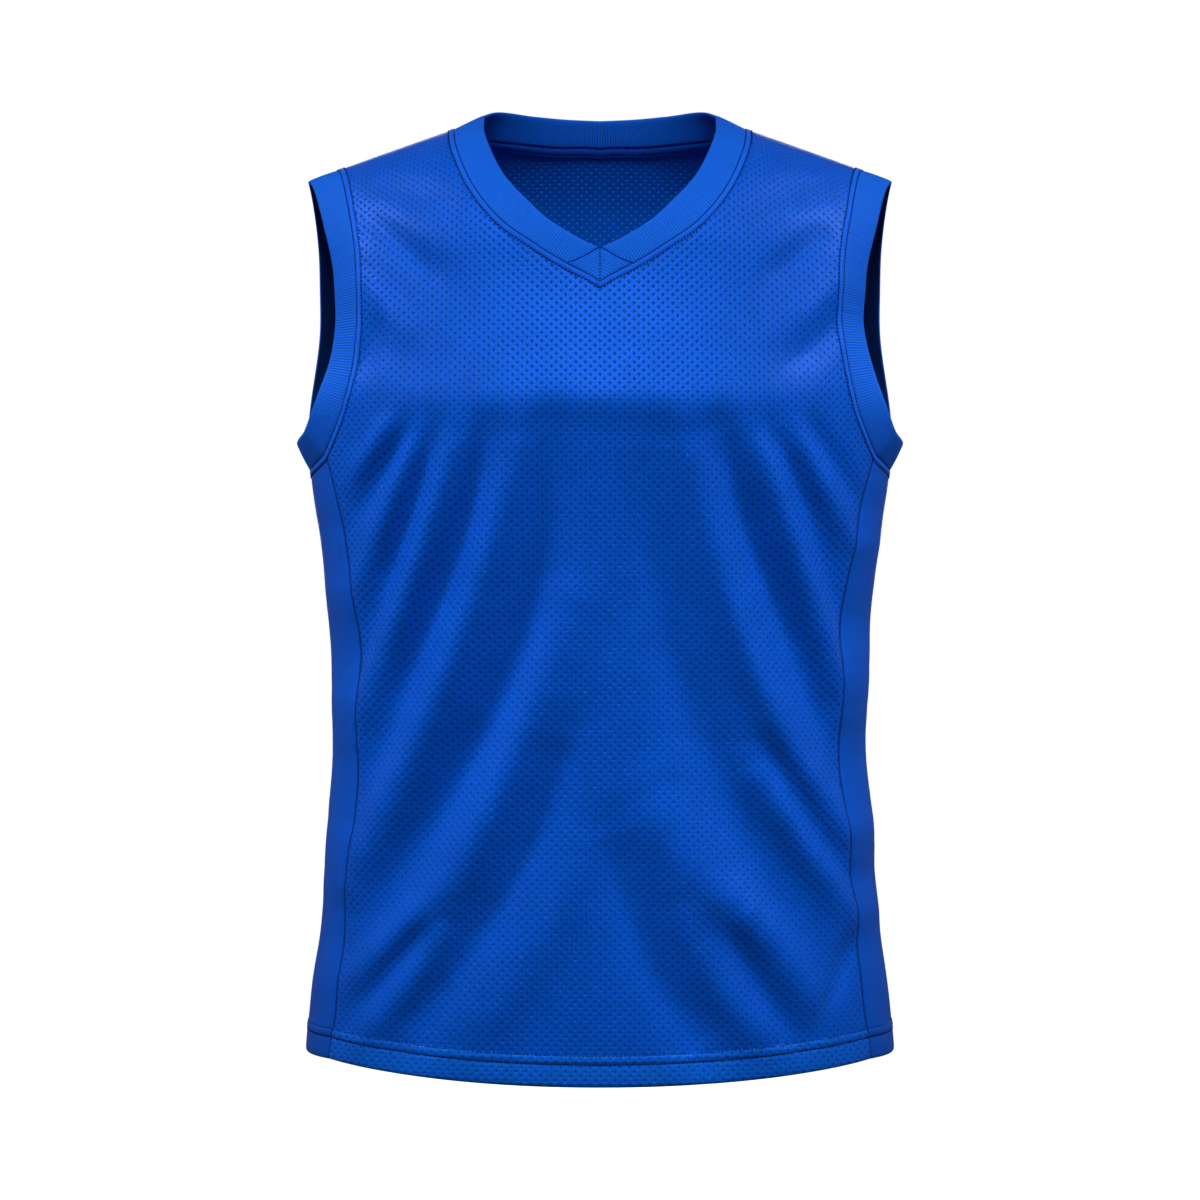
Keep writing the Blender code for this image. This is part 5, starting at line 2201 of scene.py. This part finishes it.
@dataclass
class HemTrim:
    """The turned-up hems of the four panels and their two rows of stitches.

    The front and back hems reach over the side hems' ends, by seam_overlap at the top and
    edge_overlap at the bottom, so that no slit shows between them.
    """

    form: BodyForm
    seams: SeamLines
    finishes: Finishes
    stitches: StitchRows
    cells: int = 300
    side_cells: int = 70
    seam_overlap: float = 0.0003
    edge_overlap: float = 0.0008
    upper_down: float = 0.0003
    upper_stitch: Stitch = Stitch(0.0030, 0.0032, 0.0008)
    lower_down: float = 0.0063
    lower_stitch: Stitch = Stitch(0.0030, 0.0032, 0.0012)

    def stretch(self, side: Side | None, hand: Hand) -> Stretch:
        """The hem's seam on one panel.

        Args:
            side: Front or back, or None for a side panel.
            hand: Which side panel.

        Returns:
            The seam.
        """
        if side is None:
            share = np.linspace(0, 1, self.side_cells + 1)
            bottom = self.seams.side()[0, 1]
            return Stretch(self.form, None, hand, share, np.full_like(share, bottom))
        x = (self.seams.side()[0, 0] + self.seam_overlap) * np.linspace(-1, 1, self.cells + 1)
        top = self.form.hem_height(x) + self.form.hem_width
        return Stretch(self.form, side, hand, x, self.form.drop_at(side, x, top))

    def below(self, stretch: Stretch, down: float) -> tuple[Array, Array]:
        """The cloth at one distance below the hem's seam.

        Args:
            stretch: The seam.
            down: The distance.

        Returns:
            Points and normals.
        """
        if stretch.side is None:
            return stretch.cloth(stretch.first, stretch.second - down)
        share = down / self.form.hem_width
        low_end = self.form.side_seam_x(self.form.hem_side_z) + self.edge_overlap
        low_x = low_end * np.linspace(-1, 1, len(stretch.first))
        low = self.form.drop_at(stretch.side, low_x, self.form.hem_height(low_x))
        first = stretch.first + (low_x - stretch.first) * share
        return stretch.cloth(first, stretch.second + (low - stretch.second) * share)

    def hem(self, side: Side | None, hand: Hand, name: str, node: str) -> list[Piece]:
        """The hem below one panel.

        Args:
            side: Front or back, or None for a side panel.
            hand: Which side panel.
            name: The piece's name.
            node: The solid that it stands for.

        Returns:
            The hem and its two rows of stitches.
        """
        stretch = self.stretch(side, hand)
        loops = []
        for down, height in HEM_LOOP:
            points, normals = self.below(stretch, down)
            loops.append(points + normals * height)
        loops = np.stack(loops, axis=1)
        finish = self.finishes.plain if side is None else self.finishes.mesh_doubled
        flat = band_map(loops)
        if side is not None:
            across = np.broadcast_to(stretch.first[:, None], loops.shape[:2])
            drops = stretch.second[:, None] + np.array([down for down, _ in HEM_LOOP])
            flat = self.form.cloth_map(side, np.stack([across, drops], axis=-1))
        # Painted shade darkens the hem's two edges at its seam, as in a seam's groove.
        groove_shades = np.zeros(loops.shape[:2])
        groove_shades[[0, -1]] = 1.0
        points, flat, groove_shades = loops.reshape(-1, 3), flat.reshape(-1, 2), groove_shades.ravel()
        piece = make_piece(name, points, swept(loops, False), flat, (finish,), groove_shades=groove_shades)
        put_in_place(piece, [node])
        rows = []
        for word, down, stitch in (
            ("upper", self.upper_down, self.upper_stitch),
            ("lower", self.lower_down, self.lower_stitch),
        ):
            line, normals = self.below(stretch, down)
            row = f"{name}_{word}_stitches"
            rows.append(self.stitches.sew_line(row, line, normals, False, stitch))
        return [piece] + rows

    def build(self) -> dict[str, Piece]:
        """Makes the four hems.

        Returns:
            The pieces by name.
        """
        made = self.hem(Side.FRONT, Hand.RIGHT, "front_hem", "hem_front")
        made += self.hem(Side.BACK, Hand.RIGHT, "back_hem", "hem_back")
        for hand in Hand:
            made += self.hem(None, hand, f"side_hem_{hand.label}", f"hem_side_{hand.label}")
        return {piece.name: piece for piece in made}


class Lamp(NamedTuple):
    """A soft lamp: its place, aim, width and height, power in watts and spread in degrees."""

    place: tuple[float, float, float]
    aim: tuple[float, float, float]
    size: tuple[float, float]
    power: float
    spread: float


# The high front lamp makes the light of the photograph, the back lamp serves the views from
# behind, and the two narrow ones draw the edges of the armholes.
LAMPS = {
    "top_lamp": Lamp((0.0, -1.4, 1.15), (0.0, 0.0, -0.3), (1.0, 0.5), 26.8, 180.0),
    "back_lamp": Lamp((0.0, 2.1, 0.25), (0.0, 0.0, -0.35), (1.6, 1.2), 26.0, 180.0),
    "left_lamp": Lamp((-1.15, -0.45, 0.76), (-0.1, -0.1, -0.5), (0.3, 0.4), 0.63, 30.0),
    "right_lamp": Lamp((1.15, -0.45, 0.76), (0.1, -0.1, -0.5), (0.3, 0.4), 0.63, 30.0),
}


@dataclass
class Studio:
    """A pale floor, soft lamps and a level camera in front."""

    eye_distance: float = 2.5
    eye_height: float = -0.3478
    lens: float = 101.35
    sensor_width: float = 36.0
    clip_end: float = 60.0
    floor_z: float = -1.02
    floor_size: float = 12.0
    floor_front: float = 3.0
    floor_roughness: float = 0.9
    floor_glow: float = 0.92
    ambient: float = 0.10

    def camera(self) -> None:
        """Sets the camera at the photograph's place."""
        data = bpy.data.cameras.new("studio_camera")
        data.lens, data.sensor_width, data.clip_end = self.lens, self.sensor_width, self.clip_end
        camera = bpy.data.objects.new("studio_camera", data)
        camera.location = (0.0, -self.eye_distance, self.eye_height)
        camera.rotation_euler = (math.pi / 2, 0.0, 0.0)
        bpy.context.scene.collection.objects.link(camera)
        bpy.context.scene.camera = camera

    def hang(self, name: str, lamp: Lamp) -> None:
        """Adds one lamp, turned to its aim.

        Args:
            name: The lamp's name.
            lamp: The lamp.
        """
        data = bpy.data.lights.new(name, "AREA")
        data.shape, data.energy, data.spread = "RECTANGLE", lamp.power, math.radians(lamp.spread)
        data.size, data.size_y = lamp.size
        made = bpy.data.objects.new(name, data)
        made.location = lamp.place
        way = [own - other for own, other in zip(lamp.place, lamp.aim)]
        flat = math.hypot(way[0], way[1])
        made.rotation_euler = (math.atan2(flat, way[2]), 0.0, math.atan2(way[0], -way[1]))
        bpy.context.scene.collection.objects.link(made)

    def surroundings(self) -> None:
        """A white surround whose light on the cloth is weaker than its own white."""
        world = bpy.data.worlds.new("studio_surround")
        bpy.context.scene.world = world
        world.use_nodes = True
        tree = world.node_tree
        seen, lit = tree.nodes["Background"], tree.nodes.new("ShaderNodeBackground")
        for background, strength in ((seen, 1.0), (lit, self.ambient)):
            background.inputs["Color"].default_value = (1, 1, 1, 1)
            background.inputs["Strength"].default_value = strength
        which = tree.nodes.new("ShaderNodeMixShader")
        path = tree.nodes.new("ShaderNodeLightPath").outputs["Is Camera Ray"]
        for place, value in enumerate((path, lit, seen)):
            join(value, which.inputs[place])
        join(which, tree.nodes["World Output"].inputs["Surface"])
        bpy.context.scene.view_settings.view_transform = "Standard"

    def floor(self) -> None:
        """A large sweep of pale, matt paper under the jersey, which looks plain white."""
        size, front = self.floor_size, -self.floor_front
        plan = (-size, front), (size, front), (size, size), (-size, size)
        corners = [(x, y, self.floor_z) for x, y in plan]
        data = bpy.data.meshes.new("studio_floor")
        data.from_pydata(corners, [], [(0, 1, 2, 3)])
        floor = bpy.data.objects.new("studio_floor", data)
        material = bpy.data.materials.new("pale_matt_floor")
        material.use_nodes = True
        shader = material.node_tree.nodes["Principled BSDF"]
        shader.inputs["Roughness"].default_value = self.floor_roughness
        place = add_node(material, "TexCoord").outputs["Object"]
        cloud = add_node(material, "TexNoise", Vector=place, Scale=0.8, Detail=1.0)
        pale = add_node(material, "ValToRGB", cloud, stops=((0.0, "f4f4f4"), (1.0, "f8f8f8")))
        join(pale, shader.inputs["Base Color"])
        # The paper glows, so that it is as pale as the surround.
        shader.inputs["Emission Color"].default_value = (1, 1, 1, 1)
        shader.inputs["Emission Strength"].default_value = self.floor_glow
        data.materials.append(material)
        floor.visible_diffuse = floor.visible_glossy = False
        bpy.context.scene.collection.objects.link(floor)

    def build(self) -> None:
        """Sets up the whole studio."""
        self.camera()
        self.surroundings()
        self.floor()
        for name, lamp in LAMPS.items():
            self.hang(name, lamp)


class Cut(NamedTuple):
    """The flat size of a piece of cloth, how it is held, what it rests on and what it carries."""

    width: float
    length: float
    area: float
    held: str
    rests_on: tuple[str, ...]
    carries: tuple[str, ...] = ()


def main() -> None:
    """Builds the jersey piece by piece."""
    logging.basicConfig(level=logging.INFO, format="%(message)s")
    form = BodyForm()
    seams = SeamLines(form)
    finishes = Finishes()
    stitches = StitchRows(finishes)
    Studio().build()
    pieces = MainPanels(form, seams, finishes).build()
    pieces |= NeckTrim(form, seams, finishes, stitches).build()
    for hand in Hand:
        pieces |= ArmholeTrim(form, seams, finishes, stitches, hand).build()
    pieces |= HemTrim(form, seams, finishes, stitches).build()


if __name__ == "__main__":
    main()
